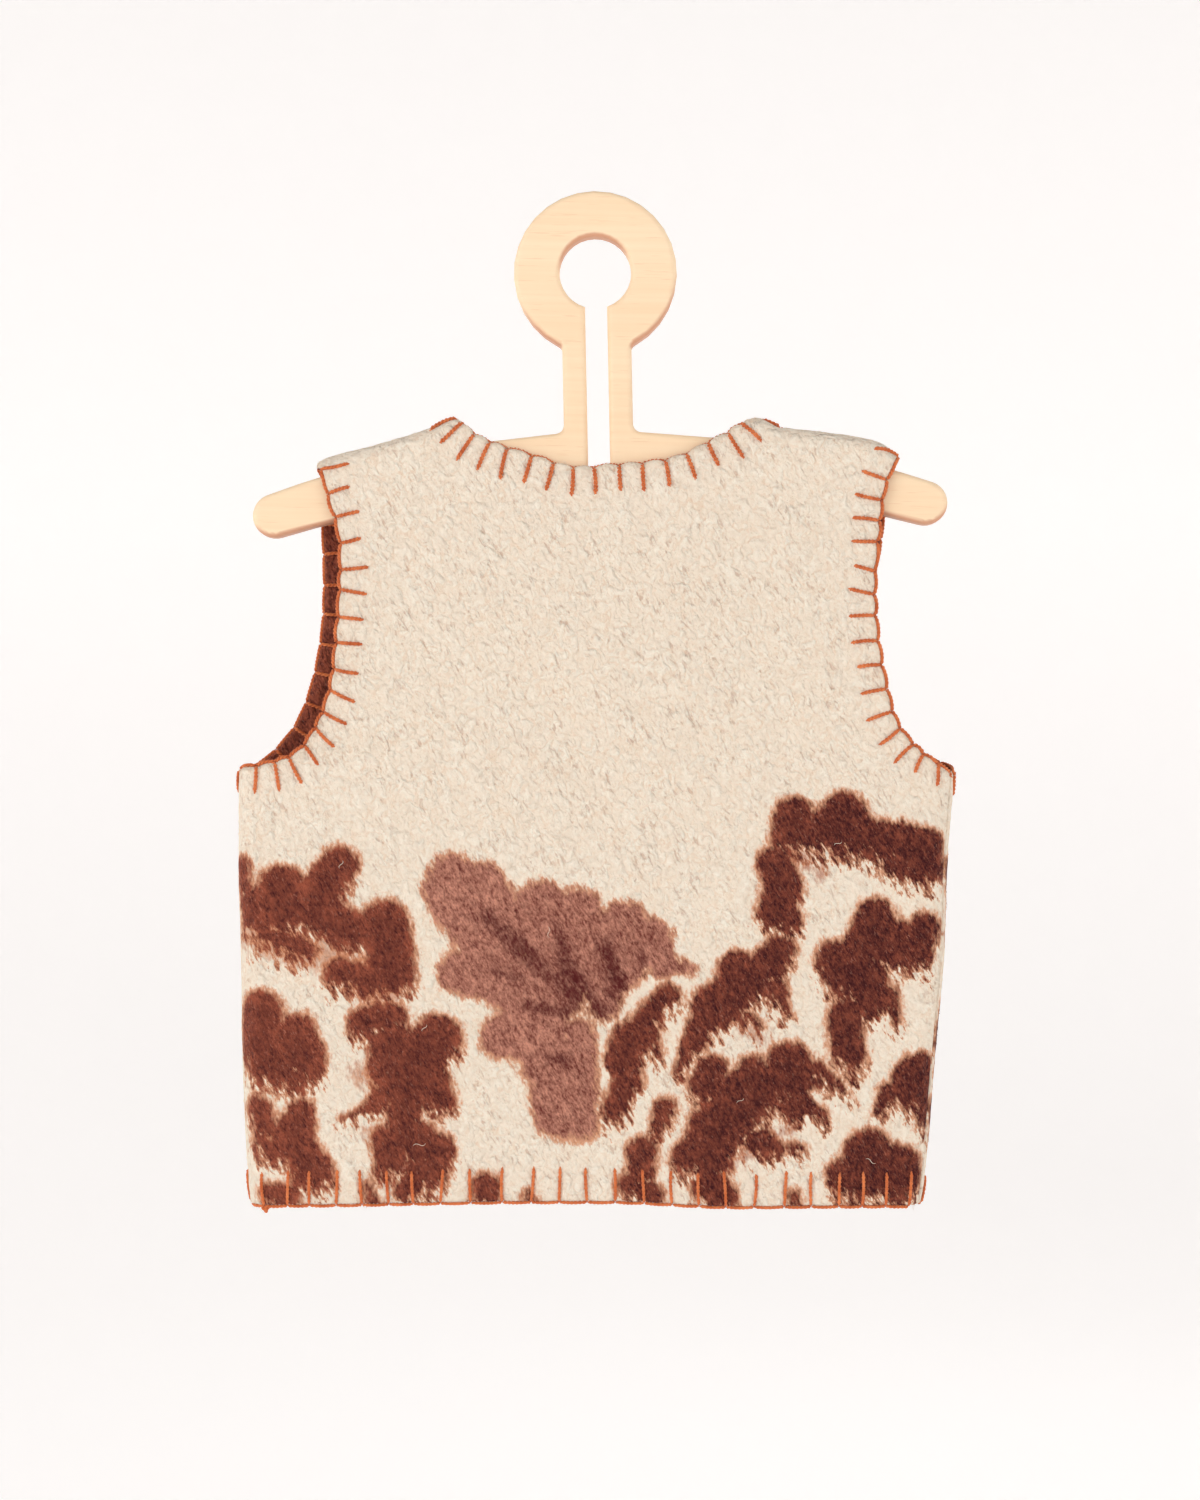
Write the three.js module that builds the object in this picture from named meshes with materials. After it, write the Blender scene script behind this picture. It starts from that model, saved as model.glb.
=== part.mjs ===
// Child's sleeveless vest of thick double-faced wool, hanging flat on a wooden hanger.
// Millimetres. +Z is up, +X is the wearer's right, and -Y is the side of the wearer's back.
// The origin is the top of the hanger's hole, where a peg carries it, half-way through the wood.
// Each panel is drawn flat, as across and up its cloth, and is then bent into the hanging garment.

import * as THREE from "three";

// Cloth and seams
const CLOTH_THICKNESS = 3;
const SEAM_GAP = 0.3;
const FRONT_OPENING = 3;
const BACK = -1;
const FRONT = 1;
const LEFT = -1;
const RIGHT = 1;

// Arch of the cloth over the hanger's bar, at mid-thickness of the cloth
const ARCH_HALF_WIDTH = 6.9;
const ARCH_RISE = 5.5;
const ARCH_LENGTH = (Math.PI / 2) * Math.hypot(ARCH_HALF_WIDTH, ARCH_RISE) * Math.SQRT1_2;

// Side folds: how far in from the fold the cloth starts to turn, and a quarter turn's length
const FOLD_REACH = 8;
const FOLD_LENGTH = 14;
// Degrees of turn from the back to each side seam: 90 would be the fold itself
const LEFT_SEAM_TURN = 130;
const RIGHT_SEAM_TURN = 50;

// Heights and places that several pieces share
const UNDERARM_Z = -232;
const CENTRE_X = 2.5;
const FRONT_NECK_DEPTH = 58;
const HEM_CENTRE_X = -4;

// Top of the shoulders, on the outside of the cloth. The middle rows span the open neck.
const SHOULDER_TOP = [
  { x: -120.6, z: -98.4 },
  { x: -116.3, z: -95.4 },
  { x: -96.4, z: -90.1 },
  { x: -72.6, z: -82.8 },
  { x: -61.3, z: -78 },
  { x: -40, z: -72 },
  { x: 50, z: -72 },
  { x: 71.3, z: -78 },
  { x: 80.4, z: -82 },
  { x: 98.1, z: -84 },
  { x: 119.8, z: -87.5 },
  { x: 131.4, z: -94.5 },
];
const LEFT_TIP_X = SHOULDER_TOP[0].x;
const RIGHT_TIP_X = SHOULDER_TOP[SHOULDER_TOP.length - 1].x;
const LEFT_PEAK_X = -61.3;
const RIGHT_PEAK_X = 71.3;

// Neckline of the back between its two peaks
const BACK_NECK = [
  { x: -53.9, z: -84.5 },
  { x: -45.5, z: -89.4 },
  { x: -28.6, z: -95 },
  { x: -10, z: -100.2 },
  { x: 11, z: -99.2 },
  { x: 29.5, z: -97.4 },
  { x: 39.3, z: -94.4 },
  { x: 47.7, z: -90.1 },
  { x: 57, z: -85.4 },
];

// Armhole edges below the shoulder tips: the fronts are cut wider than the back
const ARMHOLE = [
  { z: -111, backLeft: -115, backRight: 123.6, frontLeft: -120, frontRight: 127 },
  { z: -130, backLeft: -109.8, backRight: 121.5, frontLeft: -119.7, frontRight: 126 },
  { z: -150, backLeft: -109.5, backRight: 119.8, frontLeft: -119, frontRight: 125 },
  { z: -171, backLeft: -110.8, backRight: 120.8, frontLeft: -120, frontRight: 126 },
  { z: -194, backLeft: -113.3, backRight: 124.6, frontLeft: -124, frontRight: 129.5 },
  { z: -211, backLeft: -119.3, backRight: 129.7, frontLeft: -131, frontRight: 135 },
  { z: -224, backLeft: -129.5, backRight: 141, frontLeft: -142, frontRight: 146 },
];

// Outside of the two side folds
const SIDES = [
  { z: -419, left: -149.7, right: 141.6 },
  { z: -407, left: -151, right: 143.3 },
  { z: -351, left: -153.5, right: 148.2 },
  { z: -308, left: -154, right: 151.9 },
  { z: -270, left: -155, right: 153.2 },
  { z: UNDERARM_Z, left: -155, right: 156.2 },
];

const HEM = [
  { x: -165, z: -419 },
  { x: -60, z: -417.5 },
  { x: 5, z: -417 },
  { x: 60, z: -419 },
  { x: 165, z: -418.5 },
];

// Distance of each wall's mid-thickness from the middle plane of the hanger
const DEPTH = [
  { z: -419, depth: 11.5 },
  { z: -300, depth: 11 },
  { z: UNDERARM_Z, depth: 10 },
  { z: -175, depth: 8.8 },
  { z: -135, depth: 7.4 },
  { z: -115, depth: ARCH_HALF_WIDTH },
];

// Soft creases, as lines across a wall. A positive swell stands out and a negative one sinks in.
// They fade out over a short way before the side folds.
const CREASE_FADE = 25;
const BACK_CREASES = [
  { x0: -28, z0: -190, x1: 0, z1: -248, swell: -1.1, width: 11 },
  { x0: -22, z0: -128, x1: -14, z1: -180, swell: 0.8, width: 16 },
  { x0: -84, z0: -150, x1: -66, z1: -196, swell: -0.8, width: 14 },
  { x0: 66, z0: -150, x1: 84, z1: -232, swell: -0.7, width: 18 },
  { x0: -118, z0: -330, x1: -108, z1: -419, swell: 0.9, width: 20 },
  { x0: -34, z0: -360, x1: -40, z1: -419, swell: -1.2, width: 24 },
  { x0: 52, z0: -340, x1: 60, z1: -419, swell: 1.1, width: 24 },
];
const FRONT_CREASES = [
  { x0: -70, z0: -160, x1: -52, z1: -232, swell: -1, width: 14 },
  { x0: 62, z0: -150, x1: 46, z1: -214, swell: -0.9, width: 13 },
  { x0: -96, z0: -320, x1: -88, z1: -419, swell: 1.2, width: 22 },
  { x0: -30, z0: -340, x1: -24, z1: -419, swell: -0.8, width: 18 },
  { x0: 78, z0: -310, x1: 84, z1: -419, swell: 1, width: 20 },
];

// Rows and columns of the panels' grids, counted in quads
const SIDE_ROWS = 16;
const ARMHOLE_ROWS = 13;
const ARCH_ROWS = 4;
const SHOULDER_COLUMNS = 9;
const BACK_NECK_COLUMNS = 10;
const FRONT_NECK_COLUMNS = 7;
const PEAK_COLUMNS = 4;
const PEAK_COLUMN_LENGTH = 2.7;
const HEM_CROWDING = 0.05;
const CURVE_SAMPLES = 200;

// Hanger, drawn level in the XZ plane and then tilted about the middle of its hole
const WOOD_THICKNESS = 10;
const WOOD_ROUNDING = 2.2;
const WOOD_ROUNDING_STEPS = 3;
const HANGER_TILT = THREE.MathUtils.degToRad(1.15);
const HOLE_RADIUS = 15.5;
const HOLE_CENTRE_Z = -HOLE_RADIUS;
const RING_RADIUS = 35.3;
const NECK_HALF_WIDTH = 15;
const NECK_FILLET = 2.8;
const SLOT_HALF_WIDTH = 4.75;
const SLOT_BOTTOM_Z = -103.5;
const BAR_FILLET = 3.7;
const BAR_TOP_Z = -83;
const BAR_TOP_SLOPE = THREE.MathUtils.degToRad(5.5);
const BAR_STRAIGHT_X = 48.4;
const BAR_TOP_RADIUS = 400;
const BAR_END_SLOPE = THREE.MathUtils.degToRad(19.55);
const BAR_END_RADIUS = 9.5;
const BAR_UNDER_SLOPE = THREE.MathUtils.degToRad(16);
const BAR_FLAT_HALF_WIDTH = 30;
const ARC_STEP_ANGLE = THREE.MathUtils.degToRad(12);
const ARC_STEP_LENGTH = 16;
const ARC_LEAST_STEPS = 4;

// A table's column as a smooth function of another column that only rises or only falls.
function columnCurve(table, key, column) {
  const rows = [...table].sort((a, b) => a[key] - b[key]);
  const at = rows.map((row) => row[key]);
  const value = rows.map((row) => row[column]);
  const last = rows.length - 1;
  const steps = value.slice(1).map((v, i) => (v - value[i]) / (at[i + 1] - at[i]));
  const slopes = value.map((_, i) => {
    const before = steps[Math.max(i - 1, 0)];
    const after = steps[Math.min(i, last - 1)];
    return before * after > 0 ? (2 * before * after) / (before + after) : 0;
  });
  return (x) => {
    const place = THREE.MathUtils.clamp(x, at[0], at[last]);
    const i = THREE.MathUtils.clamp(at.findIndex((a) => a > place) - 1, 0, last - 1);
    const from = place >= at[last] ? last - 1 : i;
    const span = at[from + 1] - at[from];
    const t = (place - at[from]) / span;
    const bend = t * t * (3 - 2 * t);
    return (
      value[from] * (1 - bend) +
      value[from + 1] * bend +
      span * (slopes[from] * t * (1 - t) ** 2 - slopes[from + 1] * t * t * (1 - t))
    );
  };
}

const shoulderTop = columnCurve(SHOULDER_TOP, "x", "z");
const hemHeight = columnCurve(HEM, "x", "z");
const sideFold = {
  [LEFT]: columnCurve(SIDES, "z", "left"),
  [RIGHT]: columnCurve(SIDES, "z", "right"),
};
const wallDepth = columnCurve(DEPTH, "z", "depth");
const wallCreases = { [BACK]: BACK_CREASES, [FRONT]: FRONT_CREASES };

const ridgeHeight = (x) => shoulderTop(x) - CLOTH_THICKNESS / 2;
const ridgeUp = (x) => ridgeHeight(x) - ARCH_RISE + ARCH_LENGTH;

// How far out a wall swells from its creases at one place, a way inside the nearer side fold.
function creaseSwell(face, x, z, inside) {
  const share = THREE.MathUtils.smoothstep(inside, 0, CREASE_FADE);
  return wallCreases[face].reduce((sum, crease) => {
    const alongX = crease.x1 - crease.x0;
    const alongZ = crease.z1 - crease.z0;
    const along = (x - crease.x0) * alongX + (z - crease.z0) * alongZ;
    const t = THREE.MathUtils.clamp(along / (alongX ** 2 + alongZ ** 2), 0, 1);
    const away = Math.hypot(x - crease.x0 - t * alongX, z - crease.z0 - t * alongZ);
    return sum + share * crease.swell * Math.exp(-((away / crease.width) ** 2));
  }, 0);
}

// Where the cloth starts to turn at a side fold.
const foldStart = (side, z) => sideFold[side](z) - side * (CLOTH_THICKNESS / 2 + FOLD_REACH);

// Where a side seam lies across the cloth of a face.
function seamAcross(face, side, z) {
  const fromBack = side === LEFT ? LEFT_SEAM_TURN : RIGHT_SEAM_TURN;
  const turn = face === BACK ? fromBack : 180 - fromBack;
  return foldStart(side, z) + side * ((FOLD_LENGTH * turn) / 90 - SEAM_GAP / 2);
}

// The height up the flat cloth of a place at height z, undone from the arch over the bar.
function upOf(x, z) {
  const drop = ridgeHeight(x) - z;
  if (drop >= ARCH_RISE) return z;
  const turn = Math.acos(1 - Math.max(drop, 0) / ARCH_RISE);
  return ridgeUp(x) - (ARCH_LENGTH * turn) / (Math.PI / 2);
}

// Bends a place on the flat cloth into the hanging garment, at mid-thickness.
function bendCloth(face, across, up) {
  const below = ridgeUp(across) - up;
  const onArch = below < ARCH_LENGTH;
  const archTurn = onArch ? ((below / ARCH_LENGTH) * Math.PI) / 2 : Math.PI / 2;
  const z = onArch ? ridgeHeight(across) - ARCH_RISE * (1 - Math.cos(archTurn)) : up;
  const side = across < CENTRE_X ? LEFT : RIGHT;
  const start = foldStart(side, z);
  const past = side * (across - start);
  const foldTurn = ((Math.max(past, 0) / FOLD_LENGTH) * Math.PI) / 2;
  const x = past > 0 ? start + side * FOLD_REACH * Math.sin(foldTurn) : across;
  const depth = wallDepth(z) + creaseSwell(face, across, z, -past);
  return new THREE.Vector3(x, face * depth * Math.sin(archTurn) * Math.cos(foldTurn), z);
}

// The outward direction of the cloth at a place on it.
function clothNormal(face, across, up) {
  const reach = 0.2;
  const sideways = bendCloth(face, across + reach, up).sub(bendCloth(face, across - reach, up));
  const upwards = bendCloth(face, across, up + reach).sub(bendCloth(face, across, up - reach));
  return sideways.cross(upwards).multiplyScalar(-face).normalize();
}

// A smooth line through flat points, cut into equal stretches. Where it leaves a neck peak it is
// first cut into short ones, at its start and, on a line from peak to peak, at its end too.
function evenly(points, count, peaks = 0) {
  const curve = new THREE.CatmullRomCurve3(
    points.map(([across, up]) => new THREE.Vector3(across, up, 0)),
    false,
    "centripetal",
  );
  curve.arcLengthDivisions = CURVE_SAMPLES;
  const length = curve.getLength();
  const short = peaks ? PEAK_COLUMNS : 0;
  const near = Array.from({ length: short }, (_, i) => i * PEAK_COLUMN_LENGTH);
  const start = short * PEAK_COLUMN_LENGTH;
  const end = peaks === 2 ? length - start : length;
  const step = (end - start) / count;
  const middle = Array.from({ length: count + 1 }, (_, i) => start + i * step);
  const far = peaks === 2 ? near.map((distance) => length - distance).reverse() : [];
  return [...near, ...middle, ...far].map((distance) => {
    const p = curve.getPointAt(distance / length);
    return new THREE.Vector2(p.x, p.y);
  });
}

const joined = (...lines) => lines.flatMap((line, i) => (i ? line.slice(1) : line));

// The left or right edge of a panel, from its hem up the side seam and the armhole to the shoulder.
function outerEdge(face, side) {
  const column = (face === BACK ? "back" : "front") + (side === LEFT ? "Left" : "Right");
  const tipX = side === LEFT ? LEFT_TIP_X : RIGHT_TIP_X;
  const hemZ = hemHeight(sideFold[side](SIDES[0].z));
  const seam = Array.from({ length: SIDE_ROWS + 1 }, (_, i) => {
    const z = THREE.MathUtils.lerp(hemZ, UNDERARM_Z, i / SIDE_ROWS);
    return new THREE.Vector2(seamAcross(face, side, z), z);
  });
  const underarm = seam[SIDE_ROWS];
  const rows = [...ARMHOLE].reverse().map((row) => [row[column], row.z]);
  const seamTop = ridgeUp(tipX) - SEAM_GAP / 2;
  const foot = [tipX, seamTop - ARCH_LENGTH];
  const armhole = evenly([underarm.toArray(), ...rows, foot], ARMHOLE_ROWS);
  const arch = evenly([foot, [tipX, seamTop]], ARCH_ROWS);
  return joined(seam, armhole, arch);
}

// The shoulder seam of one side, from its tip in to the neck.
function shoulderEdge(side) {
  const [tipX, peakX] = side === LEFT ? [LEFT_TIP_X, LEFT_PEAK_X] : [RIGHT_TIP_X, RIGHT_PEAK_X];
  return Array.from({ length: SHOULDER_COLUMNS + 1 }, (_, i) => {
    const x = THREE.MathUtils.lerp(tipX, peakX, i / SHOULDER_COLUMNS);
    return new THREE.Vector2(x, ridgeUp(x) - SEAM_GAP / 2);
  });
}

// A hem between two places across the cloth, with its columns closer together near the folds.
function hemEdge(from, to, columns) {
  return Array.from({ length: columns + 1 }, (_, i) => {
    const t = i / columns;
    const across = THREE.MathUtils.lerp(from, to, t - HEM_CROWDING * Math.sin(2 * Math.PI * t));
    return new THREE.Vector2(across, hemHeight(across));
  });
}

// How far along its line each point of it lies, from 0 to 1.
function shares(line) {
  const lengths = [0];
  line.slice(1).forEach((p, i) => lengths.push(lengths[i] + p.distanceTo(line[i])));
  return lengths.map((length) => length / lengths[lengths.length - 1]);
}

// Fills the space between four edges with a grid of flat points, as a Coons patch.
function coonsGrid(bottom, top, left, right) {
  const bottomShares = shares(bottom);
  const topShares = shares(top);
  const leftShares = shares(left);
  const rightShares = shares(right);
  const columns = bottom.length - 1;
  return left.map((_, i) =>
    bottom.map((__, j) => {
      const v = (leftShares[i] + rightShares[i]) / 2;
      const u = THREE.MathUtils.lerp(bottomShares[j], topShares[j], v);
      const corner = (p, weight) => p.clone().multiplyScalar(weight);
      return new THREE.Vector2()
        .add(corner(bottom[j], 1 - v))
        .add(corner(top[j], v))
        .add(corner(left[i], 1 - u))
        .add(corner(right[i], u))
        .sub(corner(bottom[0], (1 - u) * (1 - v)))
        .sub(corner(bottom[columns], u * (1 - v)))
        .sub(corner(top[0], (1 - u) * v))
        .sub(corner(top[columns], u * v));
    }),
  );
}

// Turns a grid of flat points into a closed wall of cloth.
function clothWall(face, grid) {
  const rows = grid.length;
  const columns = grid[0].length;
  const middle = grid.flat().map((p) => bendCloth(face, p.x, p.y));
  const normals = grid.flat().map((p) => clothNormal(face, p.x, p.y));
  const skin = (offset) => middle.map((p, k) => p.clone().addScaledVector(normals[k], offset));
  const points = [...skin(CLOTH_THICKNESS / 2), ...skin(-CLOTH_THICKNESS / 2)];
  const inner = middle.length;
  const index = [];
  const quad = (a, b, c, d) => index.push(...(face === BACK ? [a, b, c, a, c, d] : [a, c, b, a, d, c]));
  for (let i = 0; i < rows - 1; i++) {
    for (let j = 0; j < columns - 1; j++) {
      const k = i * columns + j;
      quad(k, k + 1, k + columns + 1, k + columns);
      quad(inner + k, inner + k + columns, inner + k + columns + 1, inner + k + 1);
    }
  }
  const rim = (a, b) => quad(a, inner + a, inner + b, b);
  for (let j = 0; j < columns - 1; j++) {
    rim(j, j + 1);
    rim((rows - 1) * columns + j + 1, (rows - 1) * columns + j);
  }
  for (let i = 0; i < rows - 1; i++) {
    rim((i + 1) * columns, i * columns);
    rim(i * columns + columns - 1, (i + 1) * columns + columns - 1);
  }
  const geometry = new THREE.BufferGeometry().setFromPoints(points);
  geometry.setIndex(index);
  geometry.computeVertexNormals();
  return geometry;
}

function backPanel() {
  const left = outerEdge(BACK, LEFT);
  const right = outerEdge(BACK, RIGHT);
  const peak = (x) => [x, ridgeUp(x) - SEAM_GAP / 2];
  const neckRows = BACK_NECK.map(({ x, z }) => [x, upOf(x, z)]);
  const neckPoints = [peak(LEFT_PEAK_X), ...neckRows, peak(RIGHT_PEAK_X)];
  const neck = evenly(neckPoints, BACK_NECK_COLUMNS, 2);
  const top = joined(shoulderEdge(LEFT), neck, shoulderEdge(RIGHT).reverse());
  const bottom = hemEdge(left[0].x, right[0].x, top.length - 1);
  return clothWall(BACK, coonsGrid(bottom, top, left, right));
}

// One front, from its side seam to the open centre front.
function frontPanel(side) {
  const outer = outerEdge(FRONT, side);
  const peakX = side === LEFT ? LEFT_PEAK_X : RIGHT_PEAK_X;
  const neckX = CENTRE_X + (side * FRONT_OPENING) / 2;
  const hemX = HEM_CENTRE_X + (side * FRONT_OPENING) / 2;
  const peakUp = ridgeUp(peakX) - SEAM_GAP / 2;
  const neckCurve = Array.from({ length: CURVE_SAMPLES + 1 }, (_, i) => {
    const turn = ((i / CURVE_SAMPLES) * Math.PI) / 2;
    return [peakX + (neckX - peakX) * (1 - Math.cos(turn)), peakUp - FRONT_NECK_DEPTH * Math.sin(turn)];
  });
  const neck = evenly(neckCurve, FRONT_NECK_COLUMNS, 1);
  const corner = neck[neck.length - 1];
  const shoulder = shoulderEdge(side);
  const top = joined(shoulder, neck);
  const bottom = hemEdge(outer[0].x, hemX, top.length - 1);
  const rise = shares(outer);
  const centre = rise.map((share) => bottom[top.length - 1].clone().lerp(corner, share));
  const grid = coonsGrid(bottom, top, outer, centre);
  if (side === RIGHT) grid.forEach((row) => row.reverse());
  return clothWall(FRONT, grid);
}

// Points of an arc, from one angle to another in radians.
function arcPoints(centre, radius, from, to) {
  const turn = Math.abs(to - from);
  const enough = Math.max(turn / ARC_STEP_ANGLE, (turn * radius) / ARC_STEP_LENGTH);
  const steps = Math.max(Math.ceil(enough), ARC_LEAST_STEPS);
  return Array.from({ length: steps + 1 }, (_, i) => {
    const angle = THREE.MathUtils.lerp(from, to, i / steps);
    const arm = new THREE.Vector2(Math.cos(angle), Math.sin(angle));
    return arm.multiplyScalar(radius).add(centre);
  });
}

// The right half of the hanger's outline, from the top of its ring to the middle of its underside.
function hangerHalf() {
  const quarter = Math.PI / 2;
  const ringCentre = new THREE.Vector2(0, HOLE_CENTRE_Z);
  const filletX = NECK_HALF_WIDTH + NECK_FILLET;
  const filletDrop = Math.sqrt((RING_RADIUS + NECK_FILLET) ** 2 - filletX ** 2);
  const ringFillet = new THREE.Vector2(filletX, HOLE_CENTRE_Z - filletDrop);
  const ringEnd = Math.atan2(-filletDrop, filletX);
  const barTop = (x) => BAR_TOP_Z - x * Math.tan(BAR_TOP_SLOPE);
  const cornerX = NECK_HALF_WIDTH + BAR_FILLET;
  const barFillet = new THREE.Vector2(
    cornerX,
    barTop(cornerX) + BAR_FILLET / Math.cos(BAR_TOP_SLOPE),
  );
  const normalAt = (slope) => new THREE.Vector2(Math.sin(slope), Math.cos(slope));
  const bendStart = new THREE.Vector2(BAR_STRAIGHT_X, barTop(BAR_STRAIGHT_X));
  const topCentre = bendStart.addScaledVector(normalAt(BAR_TOP_SLOPE), -BAR_TOP_RADIUS);
  const endCentre = topCentre
    .clone()
    .addScaledVector(normalAt(BAR_END_SLOPE), BAR_TOP_RADIUS - BAR_END_RADIUS);
  const underEnd = endCentre
    .clone()
    .addScaledVector(normalAt(BAR_UNDER_SLOPE), -BAR_END_RADIUS);
  const underRadius = (underEnd.x - BAR_FLAT_HALF_WIDTH) / Math.sin(BAR_UNDER_SLOPE);
  const underCentre = underEnd
    .clone()
    .addScaledVector(normalAt(BAR_UNDER_SLOPE), -underRadius);
  const endTop = quarter - BAR_END_SLOPE;
  const endUnder = -quarter - BAR_UNDER_SLOPE;
  return [
    ...arcPoints(ringCentre, RING_RADIUS, quarter, ringEnd),
    ...arcPoints(ringFillet, NECK_FILLET, ringEnd + Math.PI, Math.PI).slice(1),
    ...arcPoints(barFillet, BAR_FILLET, Math.PI, 3 * quarter - BAR_TOP_SLOPE),
    ...arcPoints(topCentre, BAR_TOP_RADIUS, quarter - BAR_TOP_SLOPE, endTop),
    ...arcPoints(endCentre, BAR_END_RADIUS, endTop, endUnder).slice(1),
    ...arcPoints(underCentre, underRadius, quarter - BAR_UNDER_SLOPE, quarter).slice(1),
  ];
}

// The keyhole through the hanger: a round hole with a slot running down into the bar.
function keyhole() {
  const corner = Math.asin(SLOT_HALF_WIDTH / HOLE_RADIUS);
  const holeCentre = new THREE.Vector2(0, HOLE_CENTRE_Z);
  const slotEnd = new THREE.Vector2(0, SLOT_BOTTOM_Z + SLOT_HALF_WIDTH);
  const down = -Math.PI / 2;
  return new THREE.Path([
    ...arcPoints(holeCentre, HOLE_RADIUS, down + corner, down + 2 * Math.PI - corner),
    ...arcPoints(slotEnd, SLOT_HALF_WIDTH, Math.PI, 2 * Math.PI),
  ]);
}

function hangerGeometry() {
  const half = hangerHalf();
  const mirrored = half
    .slice(1)
    .reverse()
    .map((p) => new THREE.Vector2(-p.x, p.y));
  const outline = new THREE.Shape([...half, ...mirrored]);
  outline.holes.push(keyhole());
  const flat = WOOD_THICKNESS - 2 * WOOD_ROUNDING;
  const geometry = new THREE.ExtrudeGeometry(outline, {
    depth: flat,
    bevelEnabled: true,
    bevelThickness: WOOD_ROUNDING,
    bevelSize: WOOD_ROUNDING,
    bevelOffset: -WOOD_ROUNDING,
    bevelSegments: WOOD_ROUNDING_STEPS,
  });
  geometry.translate(0, -HOLE_CENTRE_Z, -flat / 2);
  return geometry.rotateX(Math.PI / 2);
}

const cloth = (color) => new THREE.MeshStandardMaterial({ color, roughness: 0.95, metalness: 0 });
const wood = new THREE.MeshStandardMaterial({ color: 0xf3d6ae, roughness: 0.55, metalness: 0 });

function piece(name, geometry, material) {
  const mesh = new THREE.Mesh(geometry, material);
  mesh.name = name;
  return mesh;
}

const hanger = piece("hanger", hangerGeometry(), wood);
hanger.rotation.y = -HANGER_TILT;
hanger.position.z = HOLE_CENTRE_Z;

const vest = new THREE.Group();
vest.add(piece("back", backPanel(), cloth(0xeadbcb)));
vest.add(piece("front_left", frontPanel(LEFT), cloth(0xe6d5c3)));
vest.add(piece("front_right", frontPanel(RIGHT), cloth(0xe0cfbc)));

const hungVest = new THREE.Group();
hungVest.add(hanger, vest);

export default hungVest;
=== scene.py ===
import math

import bmesh
import bpy
import numpy as np
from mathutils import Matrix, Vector, noise
from mathutils.kdtree import KDTree


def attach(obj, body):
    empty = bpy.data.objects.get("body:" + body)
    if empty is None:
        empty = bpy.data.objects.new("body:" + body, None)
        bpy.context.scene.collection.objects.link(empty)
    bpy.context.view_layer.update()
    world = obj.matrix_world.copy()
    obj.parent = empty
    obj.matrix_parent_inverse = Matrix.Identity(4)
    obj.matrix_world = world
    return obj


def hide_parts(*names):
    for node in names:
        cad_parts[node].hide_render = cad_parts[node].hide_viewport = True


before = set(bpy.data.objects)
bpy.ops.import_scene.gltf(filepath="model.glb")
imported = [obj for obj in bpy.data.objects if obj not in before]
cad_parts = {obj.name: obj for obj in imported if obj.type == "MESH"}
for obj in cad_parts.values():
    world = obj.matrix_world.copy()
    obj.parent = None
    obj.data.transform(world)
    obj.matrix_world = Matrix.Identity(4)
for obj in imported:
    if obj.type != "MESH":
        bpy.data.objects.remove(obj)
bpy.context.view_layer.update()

bl_info = {
    "name": "Wool Vest",
    "version": (1, 0, 0),
    "blender": (4, 5, 0),
    "location": "3D View > Sidebar > Wool Vest",
    "description": "Dresses a child's wool vest on its hanger: napped cloth, blanket stitching and pale wood",
    "category": "Object",
}

# The cloth is worked out in millimetres, as the part is, and its meshes are in metres
MM = 0.001

# Sides of the vest: the wearer's back faces -Y
BACK, FRONT = -1, 1
LEFT, RIGHT = -1, 1
OUTSIDE, INSIDE = 1, -1

# The part's own shape
CLOTH_THICKNESS = 3.0
SEAM_GAP = 0.3
FRONT_OPENING = 3.0
ARCH_HALF_WIDTH = 6.9
ARCH_RISE = 5.5
ARCH_LENGTH = (math.pi / 2) * math.hypot(ARCH_HALF_WIDTH, ARCH_RISE) * math.sqrt(0.5)
FOLD_REACH = 8.0
FOLD_LENGTH = 14.0
LEFT_SEAM_TURN = 130.0
RIGHT_SEAM_TURN = 50.0
UNDERARM_Z = -232.0
CENTRE_X = 2.5
FRONT_NECK_DEPTH = 58.0
HEM_CENTRE_X = -4.0
LEFT_PEAK_X, RIGHT_PEAK_X = -61.3, 71.3

# Place across and height of the tops of the shoulders
SHOULDER_TOP = (
    (-120.6, -98.4), (-116.3, -95.4), (-96.4, -90.1), (-72.6, -82.8), (-61.3, -78), (-40, -72),
    (50, -72), (71.3, -78), (80.4, -82), (98.1, -84), (119.8, -87.5), (131.4, -94.5),
)
LEFT_TIP_X, RIGHT_TIP_X = SHOULDER_TOP[0][0], SHOULDER_TOP[-1][0]
# How far an armhole's edge runs in from the tip of the shoulder before it hangs
TIP_SLANT = {BACK: 4.6, FRONT: 2.6}

# Place across and height of the back's neckline
BACK_NECK = (
    (-53.9, -84.5), (-45.5, -89.4), (-28.6, -95), (-10, -100.2), (11, -99.2), (29.5, -97.4),
    (39.3, -94.4), (47.7, -90.1), (57, -85.4),
)

# Height, then the armhole edges of the back and of the fronts, left and right
ARMHOLE = (
    (-111, -115, 123.6, -119.2, 126.5), (-130, -109.8, 121.5, -118.6, 124.5),
    (-150, -109.5, 119.8, -118.2, 121.5), (-171, -110.8, 120.8, -119.4, 122.3),
    (-194, -113.3, 124.6, -124, 126), (-211, -119.3, 129.7, -131, 131.5),
    (-224, -129.5, 141, -142, 143.5),
)
ARMHOLE_COLUMN = {(BACK, LEFT): 1, (BACK, RIGHT): 2, (FRONT, LEFT): 3, (FRONT, RIGHT): 4}

# Height, then the left and right side folds
SIDES = (
    (-419, -149, 141), (-407, -150.4, 142.6), (-351, -153, 147.5), (-308, -153.6, 151.2),
    (-270, -154.6, 152.6), (-232, -154.6, 155.6),
)

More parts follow.
